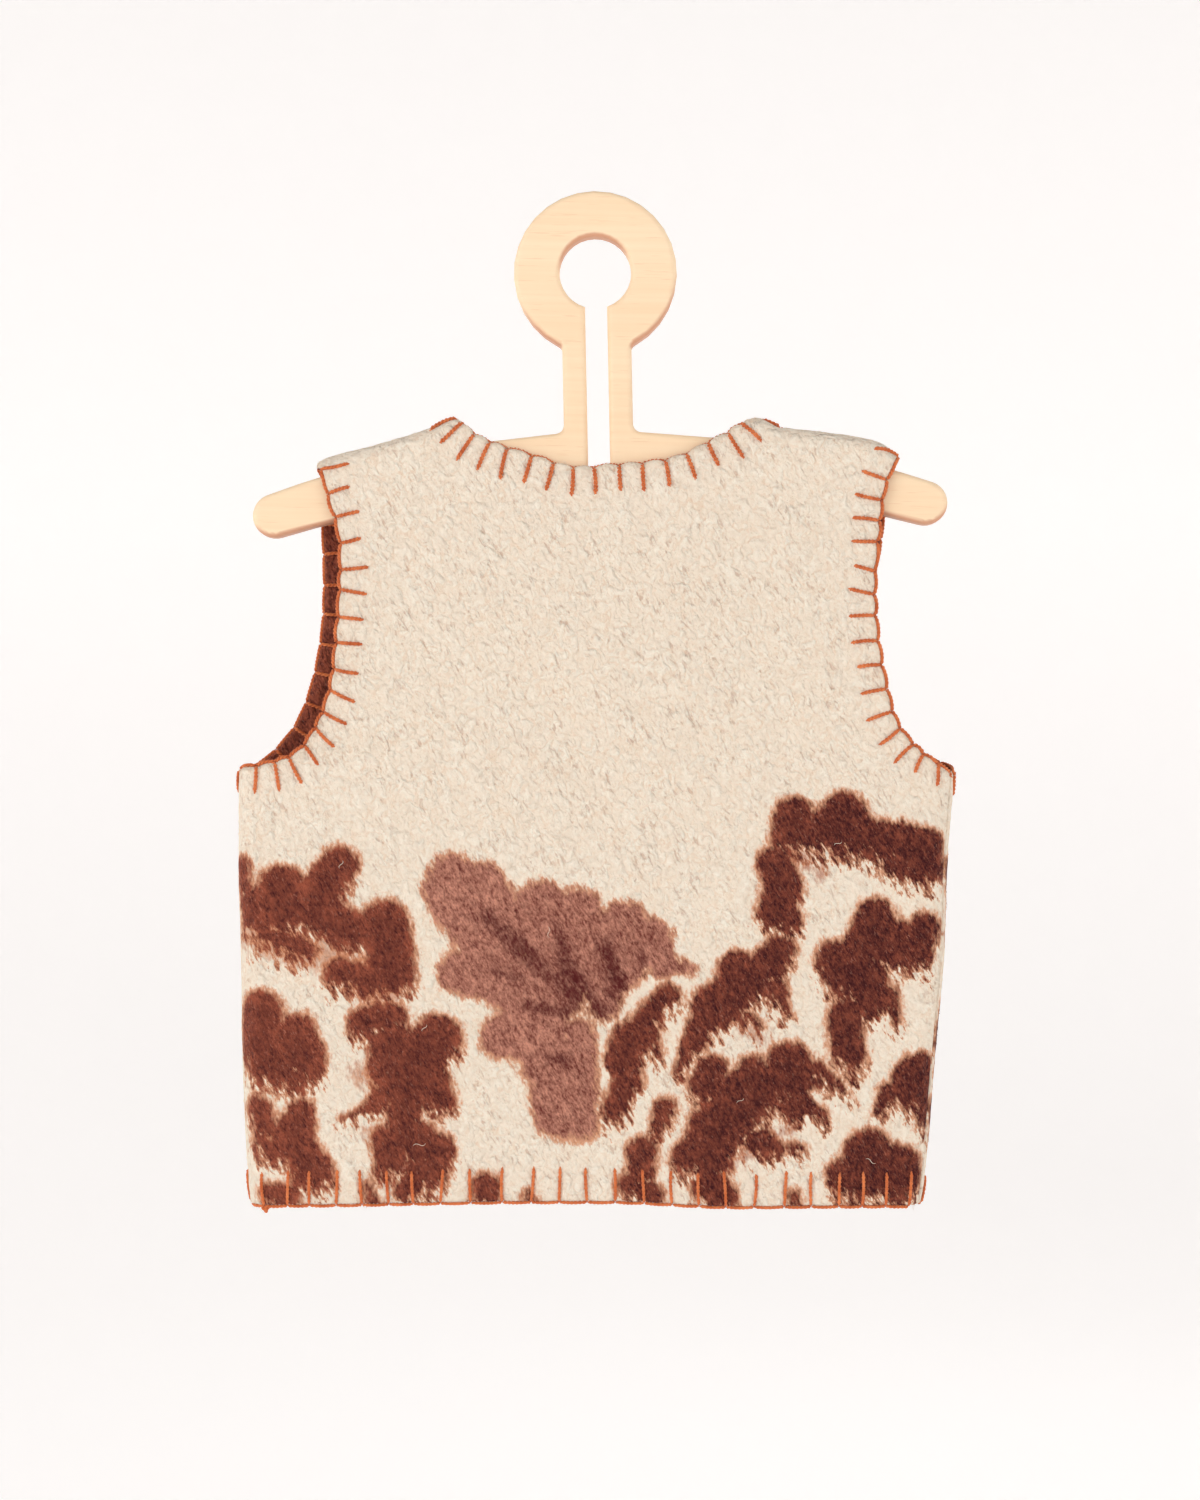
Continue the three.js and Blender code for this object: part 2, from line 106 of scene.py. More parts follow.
# Place across and height of the hem
HEM = ((-165, -417.7), (-60, -416.2), (5, -415.7), (60, -417.7), (165, -417.2))

# Height, then the distance of a wall's mid-thickness from the middle plane of the hanger
DEPTH = ((-419, 11.5), (-300, 11), (-232, 10), (-175, 8.8), (-135, 7.4), (-115, 6.9))

# Soft creases as lines from place to place, then how far each stands out and its width
CREASE_FADE = 25.0
BACK_CREASES = (
    (-28, -190, 0, -248, -1.1, 11), (-22, -128, -14, -180, 0.8, 16),
    (-84, -150, -66, -196, -0.8, 14), (66, -150, 84, -232, -0.7, 18),
    (-118, -330, -108, -419, 0.9, 20), (-34, -360, -40, -419, -1.2, 24),
    (52, -340, 60, -419, 1.1, 24),
)
FRONT_CREASES = (
    (-70, -160, -52, -232, -1, 14), (62, -150, 46, -214, -0.9, 13),
    (-96, -320, -88, -419, 1.2, 22), (-30, -340, -24, -419, -0.8, 18),
    (78, -310, 84, -419, 1, 20),
)

# Blanket stitches of the back, from foot on the edge to tip in the cloth
NECK_STITCHES = (
    (-61, -80, -71.5, -85), (-59, -82.5, -67.5, -90.5), (-53, -87.5, -60, -97.5),
    (-46, -90.5, -51, -102), (-39, -94.5, -41, -106), (-28, -97, -31, -107.5),
    (-18.5, -99.5, -21.5, -111), (-10, -101, -10.5, -113), (-0.5, -101, 0, -112.5),
    (10.5, -100, 11, -111), (20, -99, 21, -111), (30.5, -98.5, 32, -109),
    (39.5, -95, 43.5, -106), (48.5, -90, 53.5, -100), (57.5, -86.5, 64.5, -97),
    (63, -81.5, 72, -89.5), (71, -79, 79.5, -83.5),
)
LEFT_ARMHOLE_STITCHES = (
    (-116.5, -100.5, -105.5, -98.5), (-114.5, -111.5, -105.5, -108.5),
    (-111.5, -121.5, -101, -119), (-109.5, -133, -100.5, -130.5),
    (-109.5, -144.5, -97, -143), (-109, -153, -97.5, -155),
    (-110, -165, -99, -166), (-111.5, -175.5, -99.5, -176.5),
    (-112.5, -187, -101, -189), (-113.5, -196, -102.5, -201.5),
    (-116.5, -205.5, -106, -211), (-120, -212.5, -111.5, -221),
    (-125, -220, -118.5, -229), (-130, -227.5, -125.5, -237),
    (-137, -229, -135.5, -240), (-145, -230.5, -146, -241),
    (-152.5, -233.5, -154, -241),
)
RIGHT_ARMHOLE_STITCHES = (
    (130.5, -96, 119.5, -92.5), (124.5, -105, 114, -101.5), (122.5, -114, 111, -111.5),
    (122, -123, 110, -122), (121.5, -132, 110, -132), (120, -145, 111, -142.5),
    (119.5, -155, 108.5, -152.5), (120, -164, 108.5, -164.5), (121, -175, 109.5, -176),
    (123, -185.5, 112, -186.5), (124.5, -195.5, 113.5, -198), (127, -205.5, 116, -209.5),
    (129.5, -213.5, 121.5, -220), (136, -220, 128, -228), (141, -223, 137, -232),
    (147, -227, 146.5, -237.5), (154.5, -232, 154, -241),
)
HEM_STITCHES = (
    -148.5, -141.5, -132, -122.5, -111, -100, -88.5, -78, -66.5, -53.5, -40, -27.5, -15.5,
    -3.5, 8.5, 21, 33, 44.5, 56, 68, 81, 92.5, 104.5, 114.5, 124.5, 134,
)

# The blanket's leaf and petal pattern as tapering lobes: one end and its radius, then the other
BROWN_LOBES = (
    (-151, -272, 4.5, -150, -282, 3.5), (-147, -287, 6, -147, -296, 5),
    (-135, -281, 9.5, -134, -292, 11.5), (-110, -272, 8.5, -118, -284, 10),
    (-121, -292, 10.5, -104, -300, 8.5), (-90, -297, 10.5, -87, -319, 10),
    (-109, -318, 7, -95, -322, 6.5), (-141, -301, 5, -125, -308, 5), (-143, -334, 9, -143, -348, 10),
    (-128, -344, 8.5, -127, -354, 12), (-139, -357, 10.5, -129, -362, 6.5),
    (-124, -337, 2, -126, -342, 4.5), (-144, -376, 6, -142, -384, 5), (-126, -378, 6.5, -129, -387, 9),
    (-129, -392, 8, -121, -402, 9), (-143, -389, 3, -138, -395, 4.5),
    (-139, -412, 4.5, -132, -414, 5.5), (-87, -336, 6, -98, -339, 8), (-68, -346, 10.5, -78, -358, 12),
    (-87, -348, 10, -87, -357, 10.5), (-80, -363, 12.5, -82, -382, 7), (-70, -365, 8, -66, -372, 6),
    (-87, -369, 6.5, -93, -372, 4.5), (-95, -375, 2, -108, -380, 1), (-80, -390, 10.5, -69, -394, 9),
    (-90, -389, 6, -87, -399, 8), (-73, -403, 9, -80, -411, 6), (-47, -409, 5.5, -47, -413, 5.5),
    (-98, -409, 2, -95, -416, 2.5), (-29, -413, 2, -28, -416, 2.5), (85, -251, 8.5, 85, -258, 9.5),
    (107, -250, 10, 102, -256, 10.5), (98, -258, 9, 126, -262, 9), (132, -262, 9, 135, -267, 9.5),
    (141, -264, 8.5, 141, -271, 9), (77, -271, 7.5, 80, -279, 8.5), (80, -281, 8, 78, -291, 7),
    (76, -292, 7, 83, -295, 6), (128, -272, 5, 144, -277, 4), (79, -308, 7, 74, -316, 8.5),
    (60, -315, 7, 60, -324, 8.5), (70, -319, 9, 55, -330, 10), (48, -331, 7, 49, -337, 8),
    (44, -343, 5.5, 42, -349, 5.5), (38, -355, 2.5, 36, -359, 2), (76, -324, 6, 82, -335, 1.5),
    (65, -336, 3, 71, -342, 1.5), (120, -294, 8.5, 118, -307, 12), (102, -312, 8, 108, -319, 10.5),
    (141, -299, 7, 139, -310, 5.5), (130, -302, 7, 132, -312, 6), (114, -319, 12.5, 117, -329, 9),
    (107, -337, 7.5, 108, -351, 7), (111, -354, 5.5, 111, -363, 1.5), (127, -326, 3, 129, -339, 1.5),
    (138, -361, 9.5, 136, -367, 10), (141, -372, 5.5, 141, -382, 3.5), (126, -370, 5, 121, -378, 1.5),
    (83, -357, 10, 83, -364, 11.5), (67, -360, 7, 65, -366, 11), (50, -360, 7, 48, -365, 8),
    (67, -370, 13, 54, -382, 12), (95, -359, 4, 108, -370, 1), (85, -375, 7, 97, -378, 2.5),
    (48, -384, 9, 50, -390, 11.5), (41, -397, 8.5, 48, -398, 10.5), (70, -390, 6, 79, -393, 3),
    (50, -409, 8.5, 54, -413, 7), (85, -392, 2, 88, -393, 1.5), (117, -395, 10.5, 118, -404, 13.5),
    (130, -401, 9.5, 130, -407, 9.5), (105, -404, 6.5, 107, -407, 7), (31, -328, 5.5, 21, -339, 6),
    (16, -347, 9, 12, -355, 8), (14, -364, 6.5, 8, -377, 5.5), (24, -342, 3, 27, -353, 1.5),
    (30, -375, 4.5, 27, -384, 3.5), (20, -394, 6.5, 20, -404, 5.5), (15, -409, 5.5, 23, -413, 6),
    (85, -413, 2.5, 86, -415, 2),
)
TAUPE_LOBES = (
    (-61, -277, 10, -56, -288, 13.5), (-64, -282, 9.5, -47, -299, 14), (-48, -281, 10, -38, -301, 10.5),
    (-23, -290, 11.5, -15, -308, 16), (-7, -292, 10, -5, -312, 13), (-58, -317, 9, -42, -316, 13),
    (-37, -323, 10.5, -16, -325, 12), (-40, -345, 9, -31, -341, 11), (-25, -340, 12, -20, -356, 11.5),
    (-17, -370, 10.5, -16, -379, 9), (-7, -344, 6.5, -6, -382, 6.5), (12, -299, 11.5, 9, -313, 12.5),
    (24, -305, 9.5, 29, -314, 5), (31, -313, 3.5, 41, -316, 1.5), (4, -319, 11, 4, -331, 6.5),
)
VEIN_LOBES = (
    (-47, -293, 3.5, -32, -307, 4.5), (-32, -307, 4.5, -16, -322, 3), (-16, -322, 3, -5, -330, 4.5),
    (-5, -330, 4.5, 3, -336, 4.5), (-17, -297, 1.5, -11, -316, 4.5), (-11, -316, 4.5, -5, -328, 4.5),
    (-28, -332, 2.5, -11, -335, 3), (-43, -316, 1.5, -34, -320, 2), (-23, -353, 2, -13, -355, 3),
    (4, -307, 4, 10, -322, 4.5), (9, -326, 4, 12, -333, 2.5), (20, -307, 1.5, 21, -318, 1.5),
)

# Long cream fibres lying on the back: place, heading in degrees and length
CURLS = (
    (-75.4, -391, 15, 6), (-73.3, -341, 60, 4), (-109, -271, 70, 4), (96, -306, 115, 5),
    (62, -372, 40, 4), (118, -398, 160, 5), (-20, -300, 100, 5), (30, -190, 70, 5),
    (-62, -212, 120, 4), (104, -262, 30, 4),
)

# What the attributes of the wool read where it is plain
PLAIN_WOOL = {"brown": -30, "taupe": -30, "vein": -30, "faded": -30, "feather": 0, "outside": 1}

# Places where the brown wool thins out into the cream
FADED_PLACES = (
    (-148, -301, 7, -122, -309, 8), (-116, -309, 7, -88, -324, 8), (-104, -322, 5, -92, -332, 5),
    (-100, -360, 5, -86, -374, 6), (-96, -385, 4, -88, -398, 4), (-138, -388, 5, -126, -402, 5),
    (60, -398, 3, 84, -384, 3), (84, -268, 4, 96, -274, 3), (60, -338, 3, 72, -346, 3),
)
FIGURES = {"brown": BROWN_LOBES, "taupe": TAUPE_LOBES, "vein": VEIN_LOBES, "faded": FADED_PLACES}


def srgb(red, green, blue):
    """A colour as a screen shows it, 0 to 255, in the linear values that Blender keeps."""
    shares = (value / 255 for value in (red, green, blue))
    return tuple(s / 12.92 if s <= 0.04045 else ((s + 0.055) / 1.055) ** 2.4 for s in shares)


def smooth_step(low, high, value):
    share = np.clip((value - low) / (high - low), 0, 1)
    return share * share * (3 - 2 * share)


# Shape of the hanging cloth


def column_curve(table, column):
    """A table's column as a smooth function of its first column."""
    rows = np.array(sorted(table), float)
    at, value = rows[:, 0], rows[:, column]
    steps = np.diff(value) / np.diff(at)
    before, after = np.append(steps[0], steps), np.append(steps, steps[-1])
    turning = before * after <= 0
    slopes = np.where(turning, 0, 2 * before * after / np.where(turning, 1, before + after))

    def curve(x):
        place = np.clip(x, at[0], at[-1])
        i = np.clip(np.searchsorted(at, place, side="right") - 1, 0, len(at) - 2)
        span = at[i + 1] - at[i]
        t = (place - at[i]) / span
        bend = t * t * (3 - 2 * t)
        swing = slopes[i] * t * (1 - t) ** 2 - slopes[i + 1] * t * t * (1 - t)
        return value[i] * (1 - bend) + value[i + 1] * bend + span * swing

    return curve


shoulder_top = column_curve(SHOULDER_TOP, 1)
hem_height = column_curve(HEM, 1)
side_fold = {LEFT: column_curve(SIDES, 1), RIGHT: column_curve(SIDES, 2)}
wall_depth = column_curve(DEPTH, 1)
wall_creases = {BACK: BACK_CREASES, FRONT: FRONT_CREASES}


def ridge_height(x):
    return shoulder_top(x) - CLOTH_THICKNESS / 2


def ridge_up(x):
    return ridge_height(x) - ARCH_RISE + ARCH_LENGTH


def crease_swell(face, x, z, inside):
    """How far out a wall swells from its creases, at places a way inside the side folds."""
    swell = np.zeros_like(x)
    for x0, z0, x1, z1, height, width in wall_creases[face]:
        along_x, along_z = x1 - x0, z1 - z0
        t = ((x - x0) * along_x + (z - z0) * along_z) / (along_x**2 + along_z**2)
        t = np.clip(t, 0, 1)
        away = np.hypot(x - x0 - t * along_x, z - z0 - t * along_z)
        swell += height * np.exp(-((away / width) ** 2))
    return swell * smooth_step(0, CREASE_FADE, inside)


def fold_start(side, z):
    """Where the cloth starts to turn at a side fold."""
    return side_fold[side](z) - side * (CLOTH_THICKNESS / 2 + FOLD_REACH)


def seam_across(face, side, z):
    """Where a side seam lies across the cloth of a face."""
    from_back = LEFT_SEAM_TURN if side == LEFT else RIGHT_SEAM_TURN
    turn = from_back if face == BACK else 180 - from_back
    return fold_start(side, z) + side * (FOLD_LENGTH * turn / 90 - SEAM_GAP / 2)


def up_of(x, z):
    """The height up the flat cloth of a place at height z, undone from the arch over the bar."""
    drop = ridge_height(x) - z
    turn = np.arccos(np.clip(1 - drop / ARCH_RISE, 0, 1))
    return np.where(drop >= ARCH_RISE, z, ridge_up(x) - ARCH_LENGTH * turn / (math.pi / 2))


def across_of(x, z):
    """The place across the flat cloth of a place at x, undone from the side folds."""
    side = LEFT if x < CENTRE_X else RIGHT
    start = fold_start(side, z)
    past = side * (x - start)
    if past <= 0:
        return x
    return start + side * FOLD_LENGTH * math.asin(min(past / FOLD_REACH, 1)) / (math.pi / 2)


def bend_cloth(face, flat):
    """Places on the flat cloth, bent into the hanging garment at mid-thickness."""
    across, up = flat.T
    below = ridge_up(across) - up
    arch_turn = np.minimum(below / ARCH_LENGTH, 1) * math.pi / 2
    arch_z = ridge_height(across) - ARCH_RISE * (1 - np.cos(arch_turn))
    z = np.where(below < ARCH_LENGTH, arch_z, up)
    side = np.where(across < CENTRE_X, LEFT, RIGHT)
    start = np.where(side == LEFT, fold_start(LEFT, z), fold_start(RIGHT, z))
    past = side * (across - start)
    fold_turn = np.maximum(past, 0) / FOLD_LENGTH * math.pi / 2
    x = np.where(past > 0, start + side * FOLD_REACH * np.sin(fold_turn), across)
    depth = wall_depth(z) + crease_swell(face, across, z, -past)
    return np.stack([x, face * depth * np.sin(arch_turn) * np.cos(fold_turn), z], -1)


def cloth_normal(face, flat):
    """The outward directions of the cloth at places on it."""
    reach = 0.2
    sideways = bend_cloth(face, flat + (reach, 0)) - bend_cloth(face, flat - (reach, 0))
    upwards = bend_cloth(face, flat + (0, reach)) - bend_cloth(face, flat - (0, reach))
    normal = -face * np.cross(sideways, upwards)
    return normal / np.linalg.norm(normal, axis=1, keepdims=True)


# Edges of the panels

# How far the yarn along an edge lies out from it, and how high: in sight, or behind the puffed edge
SHOWN_RUN = np.array((0.5, 0.5))
HIDDEN_RUN = np.array((-0.7, -2.6))
EDGE_STEP = 0.5
STITCH_MARGIN = 6.0
# Lines of the grid that lie close to an edge, to round it
ROUNDING_RUNS = (0.4, 0.95, 1.7)
OPEN_ROUNDING = 1.7
SEAM_ROUNDING = 1.0
SEAM_ROWS, ARMHOLE_ROWS, ARCH_ROWS = 122, 86, 7
SHOULDER_COLUMNS, BACK_NECK_COLUMNS, FRONT_NECK_COLUMNS = 42, 98, 62

# Kind of stitched edge: how far it puffs out between stitches, its yarn's share of the full width,
# and how far the yarn along it is hidden behind the puffs
STITCHED = {
    "neck": (1.7, 1.35, 1),
    "armhole": (1.1, 1.1, 0),
    "front armhole": (0.4, 1, 0),
    "hem": (0.4, 0.85, 0),
    "front centre": (0.9, 1, 0),
}


def smooth_line(points, steps=24):
    """A centripetal Catmull-Rom line through flat points."""
    p = np.array(points, float)
    p = np.vstack([2 * p[0] - p[1], p, 2 * p[-1] - p[-2]])
    t = np.linspace(0, 1, steps, endpoint=False)[:, None]
    bend = t * t * (3 - 2 * t)
    line = []
    for a, b, c, d in zip(p, p[1:], p[2:], p[3:]):
        d0, d1, d2 = (math.sqrt(np.linalg.norm(v)) for v in (b - a, c - b, d - c))
        leave = ((b - a) / d0 - (c - a) / (d0 + d1) + (c - b) / d1) * d1
        arrive = ((c - b) / d1 - (d - b) / (d1 + d2) + (d - c) / d2) * d1
        line.append(b * (1 - bend) + c * bend + leave * t * (1 - t) ** 2 - arrive * t * t * (1 - t))
    return np.vstack([*line, p[-2]])


def run_of(line):
    """How far along its line each point of it lies."""
    return np.append(0, np.cumsum(np.linalg.norm(np.diff(line, axis=0), axis=1)))


def at_runs(line, runs):
    own = run_of(line)
    return np.stack([np.interp(runs, own, line[:, k]) for k in (0, 1)], -1)


class Stretch:
    """A part of a panel's edge. An open one is stitched: feet say where along it, tips how far in."""

    def __init__(self, line, quads, kind=None):
        self.length = run_of(line)[-1]
        self.line = at_runs(line, np.linspace(0, self.length, int(self.length / EDGE_STEP) + 2))
        self.quads = quads
        self.kind = kind
        self.bulge, self.yarn_share, self.hiding = STITCHED.get(kind, (0, 0, 0))
        self.feet = None
        self.tips = None

    def stitch(self, feet, tips):
        order = np.argsort(feet)
        self.feet, self.tips = np.array(feet)[order], np.array(tips)[order]

    def stitch_by_table(self, rows):
        """Stitches from pairs of places on the garment: a foot on this edge, and a tip."""
        feet, tips = [], []
        run = run_of(self.line)
        for x0, z0, x1, z1 in rows:
            foot = np.array((across_of(x0, z0), float(up_of(x0, z0))))
            feet.append(run[np.argmin(np.linalg.norm(self.line - foot, axis=1))])
            tips.append((across_of(x1, z1), float(up_of(x1, z1))))
        self.stitch(feet, tips)

    def stitch_evenly(self, outward, spacing, random):
        """Stitches a hand's even spacing apart, pointing into the cloth."""
        count = max(int(round((self.length - STITCH_MARGIN) / spacing)), 2)
        feet = np.linspace(STITCH_MARGIN / 2, self.length - STITCH_MARGIN / 2, count)
        feet = feet + random.uniform(-0.9, 0.9, count)
        place, along = self.at(feet)
        inward = -outward * np.stack([along[:, 1], -along[:, 0]], -1)
        length = random.uniform(11, 12.6, (count, 1))
        lean = random.uniform(-1.1, 1.1, (count, 1))
        self.stitch(feet, place + inward * length + along * lean)

    def at(self, runs):
        """Places along the stretch, and its direction there."""
        ahead = at_runs(self.line, np.minimum(runs + 0.5, self.length))
        behind = at_runs(self.line, np.maximum(runs - 0.5, 0))
        along = ahead - behind
        return at_runs(self.line, runs), along / np.linalg.norm(along, axis=1, keepdims=True)

    def between_stitches(self, runs):
        """0 at each stitch and 1 half-way between two of them."""
        i = np.clip(np.searchsorted(self.feet, runs), 1, len(self.feet) - 1)
        share = (runs - self.feet[i - 1]) / (self.feet[i] - self.feet[i - 1])
        return np.sin(math.pi * np.clip(share, 0, 1)) ** 0.7


def outer_side(face, side):
    """The left or right side of a panel, from its hem up the seam and the armhole to the shoulder."""
    tip_x = LEFT_TIP_X if side == LEFT else RIGHT_TIP_X
    column = ARMHOLE_COLUMN[face, side]
    kind = "armhole" if face == BACK else "front armhole"
    hem_z = float(hem_height(side_fold[side](SIDES[0][0])))
    z = np.linspace(hem_z, UNDERARM_Z, 60)
    seam = np.stack([seam_across(face, side, z), z], -1)
    seam_top = float(ridge_up(tip_x)) - SEAM_GAP / 2
    foot = (tip_x - side * TIP_SLANT[face], seam_top - ARCH_LENGTH)
    rows = [(row[column], row[0]) for row in reversed(ARMHOLE)]
    armhole = smooth_line([tuple(seam[-1]), *rows, foot])
    armhole = np.vstack([armhole, (tip_x, seam_top)])
    return [Stretch(seam, SEAM_ROWS), Stretch(armhole, ARMHOLE_ROWS + ARCH_ROWS, kind)]


def shoulder(side):
    """The shoulder seam of one side, from its tip in to the neck."""
    tip_x, peak_x = (LEFT_TIP_X, LEFT_PEAK_X) if side == LEFT else (RIGHT_TIP_X, RIGHT_PEAK_X)
    x = np.linspace(tip_x, peak_x, 60)
    return np.stack([x, ridge_up(x) - SEAM_GAP / 2], -1)


def hem_line(start, end):
    across = np.linspace(start, end, 200)
    return np.stack([across, hem_height(across)], -1)


def side_points(stretches):
    """One side of a panel as the ends of its grid's lines, closer together near its two ends."""
    close = np.array(ROUNDING_RUNS)
    points = []
    for stretch in stretches:
        first, last = stretch is stretches[0], stretch is stretches[-1]
        start = close[-1] if first else 0
        end = stretch.length - (close[-1] if last else 0)
        runs = np.linspace(start, end, stretch.quads + 1)
        if first:
            runs = np.concatenate([[0], close[:-1], runs])
        if last:
            runs = np.concatenate([runs, stretch.length - close[-2::-1], [stretch.length]])
        places = at_runs(stretch.line, runs)
        points.append(places if first else places[1:])
    return np.vstack(points)


def coons_grid(bottom, top, left, right):
    """Fills the space between four sides with a grid of flat places, as a Coons patch."""
    shares = [run_of(line) / run_of(line)[-1] for line in (bottom, top, left, right)]
    v = ((shares[2] + shares[3]) / 2)[:, None]
    u = (shares[0] * (1 - v) + shares[1] * v)[..., None]
    v = v[..., None]
    across = left[:, None] * (1 - u) + right[:, None] * u
    ups = bottom * (1 - v) + top * v
    low = bottom[0] * (1 - u) + bottom[-1] * u
    high = top[0] * (1 - u) + top[-1] * u
    return across + ups - low * (1 - v) - high * v


class EdgeMap:
    """Finds the nearest place on some stretches of a panel's edge."""

    def __init__(self, stretches):
        self.stretches = [stretch for stretch, _ in stretches]
        rows = []
        for number, (stretch, outward) in enumerate(stretches):
            run = run_of(stretch.line)
            place, along = stretch.at(run)
            normal = outward * np.stack([along[:, 1], -along[:, 0]], -1)
            rows.append(np.column_stack([place, along, normal, run, np.full(len(run), number)]))
        self.rows = np.vstack(rows)
        self.tree = KDTree(len(self.rows))
        for i, (x, y) in enumerate(self.rows[:, :2]):
            self.tree.insert((x, y, 0), i)
        self.tree.balance()

    def nearest(self, flat):
        """The distance inside the edge, the run along it, its outward direction and its stretch."""
        found = [self.tree.find((x, y, 0))[1] for x, y in flat]
        row = self.rows[found]
        away = flat - row[:, :2]
        along = np.einsum("ij,ij->i", away, row[:, 2:4])
        out = np.einsum("ij,ij->i", away, row[:, 4:6])
        straight = np.abs(along) <= EDGE_STEP
        far = np.linalg.norm(away, axis=1) * np.where(out > 0, -1, 1)
        return np.where(straight, -out, far), row[:, 6] + along, row[:, 4:6], row[:, 7].astype(int)


# Relief of the cloth: nap, and how the stitches draw it in
EDGE_SOFTNESS = 3.4
STITCH_PULL = 0.55
LEG_DENT = 0.55
LEG_DENT_WIDTH = 1.2
PUFF = 0.3
# The nap's tufts in two sizes: strength, then how wide and how high they are
NAP_TUFTS = ((1, 4.4, 7), (0.8, 8, 13))
# Height of the inside's tufts, low enough to stay off the hanger
INSIDE_NAP = 0.1


def field(flat, lobes):
    """How far inside the nearest lobe each place lies, in millimetres, and negative outside."""
    soft = 0.8
    best = np.full(len(flat), -60.0)
    for x0, z0, r0, x1, z1, r1 in lobes:
        along = np.array((x1 - x0, z1 - z0))
        from_start = flat - (x0, z0)
        t = np.clip(from_start @ along / max(float(along @ along), 1e-6), 0, 1)
        inside = r0 + (r1 - r0) * t - np.linalg.norm(from_start - t[:, None] * along, axis=1)
        best = np.logaddexp(best / soft, inside / soft) * soft
    return best


class Panel:
    """One cut piece of cloth: its outline and stitches on the flat, and its shape on the hanger."""

    def __init__(self, name, face, bottom, right, top, left, mirrored=False):
        self.name = name
        self.face = face
        self.mirrored = mirrored
        sides = [(s, 1) for s in bottom + right] + [(s, -1) for s in top + left]
        self.open_edges = [(s, outward) for s, outward in sides if s.kind]
        self.seams = [(s, outward) for s, outward in sides if not s.kind]
        self.sides = (bottom, top, left, right)

    def prepare(self):
        self.grid = coons_grid(*(side_points(side) for side in self.sides))
        self.flat = self.grid.reshape(-1, 2)
        self.open_map = EdgeMap(self.open_edges)
        self.seam_map = EdgeMap(self.seams)
        legs = []
        for stretch, _ in self.open_edges:
            legs.append(np.hstack([stretch.at(stretch.feet)[0], stretch.tips]))
        self.legs = np.vstack(legs)

    def area(self):
        """Flat area in square millimetres."""
        grid = self.grid
        x, y = np.vstack([grid[0], grid[1:, -1], grid[-1, -2::-1], grid[-2:0:-1, 0]]).T
        return abs(float(np.dot(x, np.roll(y, -1)) - np.dot(y, np.roll(x, -1)))) / 2

    def leg_distance(self, flat):
        """The distance from each place to the nearest leg of a stitch."""
        best = np.full(len(flat), 99.0)
        for x0, y0, x1, y1 in self.legs:
            along = np.array((x1 - x0, y1 - y0))
            from_start = flat - (x0, y0)
            t = np.clip(from_start @ along / float(along @ along), 0, 1)
            best = np.minimum(best, np.linalg.norm(from_start - t[:, None] * along, axis=1))
        return best

    def place(self, flat, skin, lift=0.0):
        """Places on a skin of the cloth, lifted off it, in metres."""
        inside, run, outward, number = self.open_map.nearest(flat)
        seam_inside = self.seam_map.nearest(flat)[0]
        between, bulge = np.zeros(len(flat)), np.zeros(len(flat))
        for i, stretch in enumerate(self.open_map.stretches):
            on = number == i
            between[on] = stretch.between_stitches(run[on])
            bulge[on] = stretch.bulge
        fade = np.exp(-np.maximum(inside, 0) / EDGE_SOFTNESS) * smooth_step(2, 12, seam_inside)
        drawn = flat + outward * ((bulge * between - STITCH_PULL) * fade)[:, None]
        open_share = np.clip(inside / OPEN_ROUNDING, 0, 1)
        seam_share = np.clip(seam_inside / SEAM_ROUNDING, 0, 1)
        rounding = np.sqrt(1 - (1 - open_share) ** 2) * np.sqrt(1 - (1 - seam_share) ** 2)
        dent = LEG_DENT * np.exp(-((self.leg_distance(flat) / LEG_DENT_WIDTH) ** 2))
        half = CLOTH_THICKNESS / 2 + PUFF * between * fade - dent + self.nap(flat, skin)
        middle = bend_cloth(self.face, drawn)
        normal = cloth_normal(self.face, drawn)
        return MM * (middle + normal * (skin * (rounding * half + lift))[:, None])

    def nap(self, flat, skin):
        """The height of matted tufts on a skin. The inside is plainer, and stays off the hanger."""
        share = bpy.context.scene.vest_cloth.nap_height / MM if skin == OUTSIDE else INSIDE_NAP
        seed = 11.0 * self.face + skin
        heights = np.zeros(len(flat))
        for strength, across, up in NAP_TUFTS:
            tufts = [noise.noise(Vector((x / across, y / up, seed))) for x, y in flat]
            heights += strength * np.array(tufts)
        return share * heights

    def pattern(self, flat):
        """What the wool's colours read: brown, taupe and veins in millimetres, and feathering."""
        place = flat * (-1, 1) + (2 * CENTRE_X, 0) if self.mirrored else flat
        values = {}
        for key, rows in FIGURES.items():
            laid = [
                (across_of(x0, z0), z0, r0, across_of(x1, z1), z1, r1)
                for x0, z0, r0, x1, z1, r1 in rows
            ]
            values[key] = field(place, laid)
            if key == "brown":
                rise = (field(place + (0, 1.5), laid) - values[key]) / 1.5
                values["feather"] = smooth_step(0, 0.9, rise)
        return values


PANELS = []


def cloth_panels():
    """The back and the two fronts, worked out when they are first asked for."""
    if not PANELS:
        PANELS.extend(make_panels())
    return PANELS


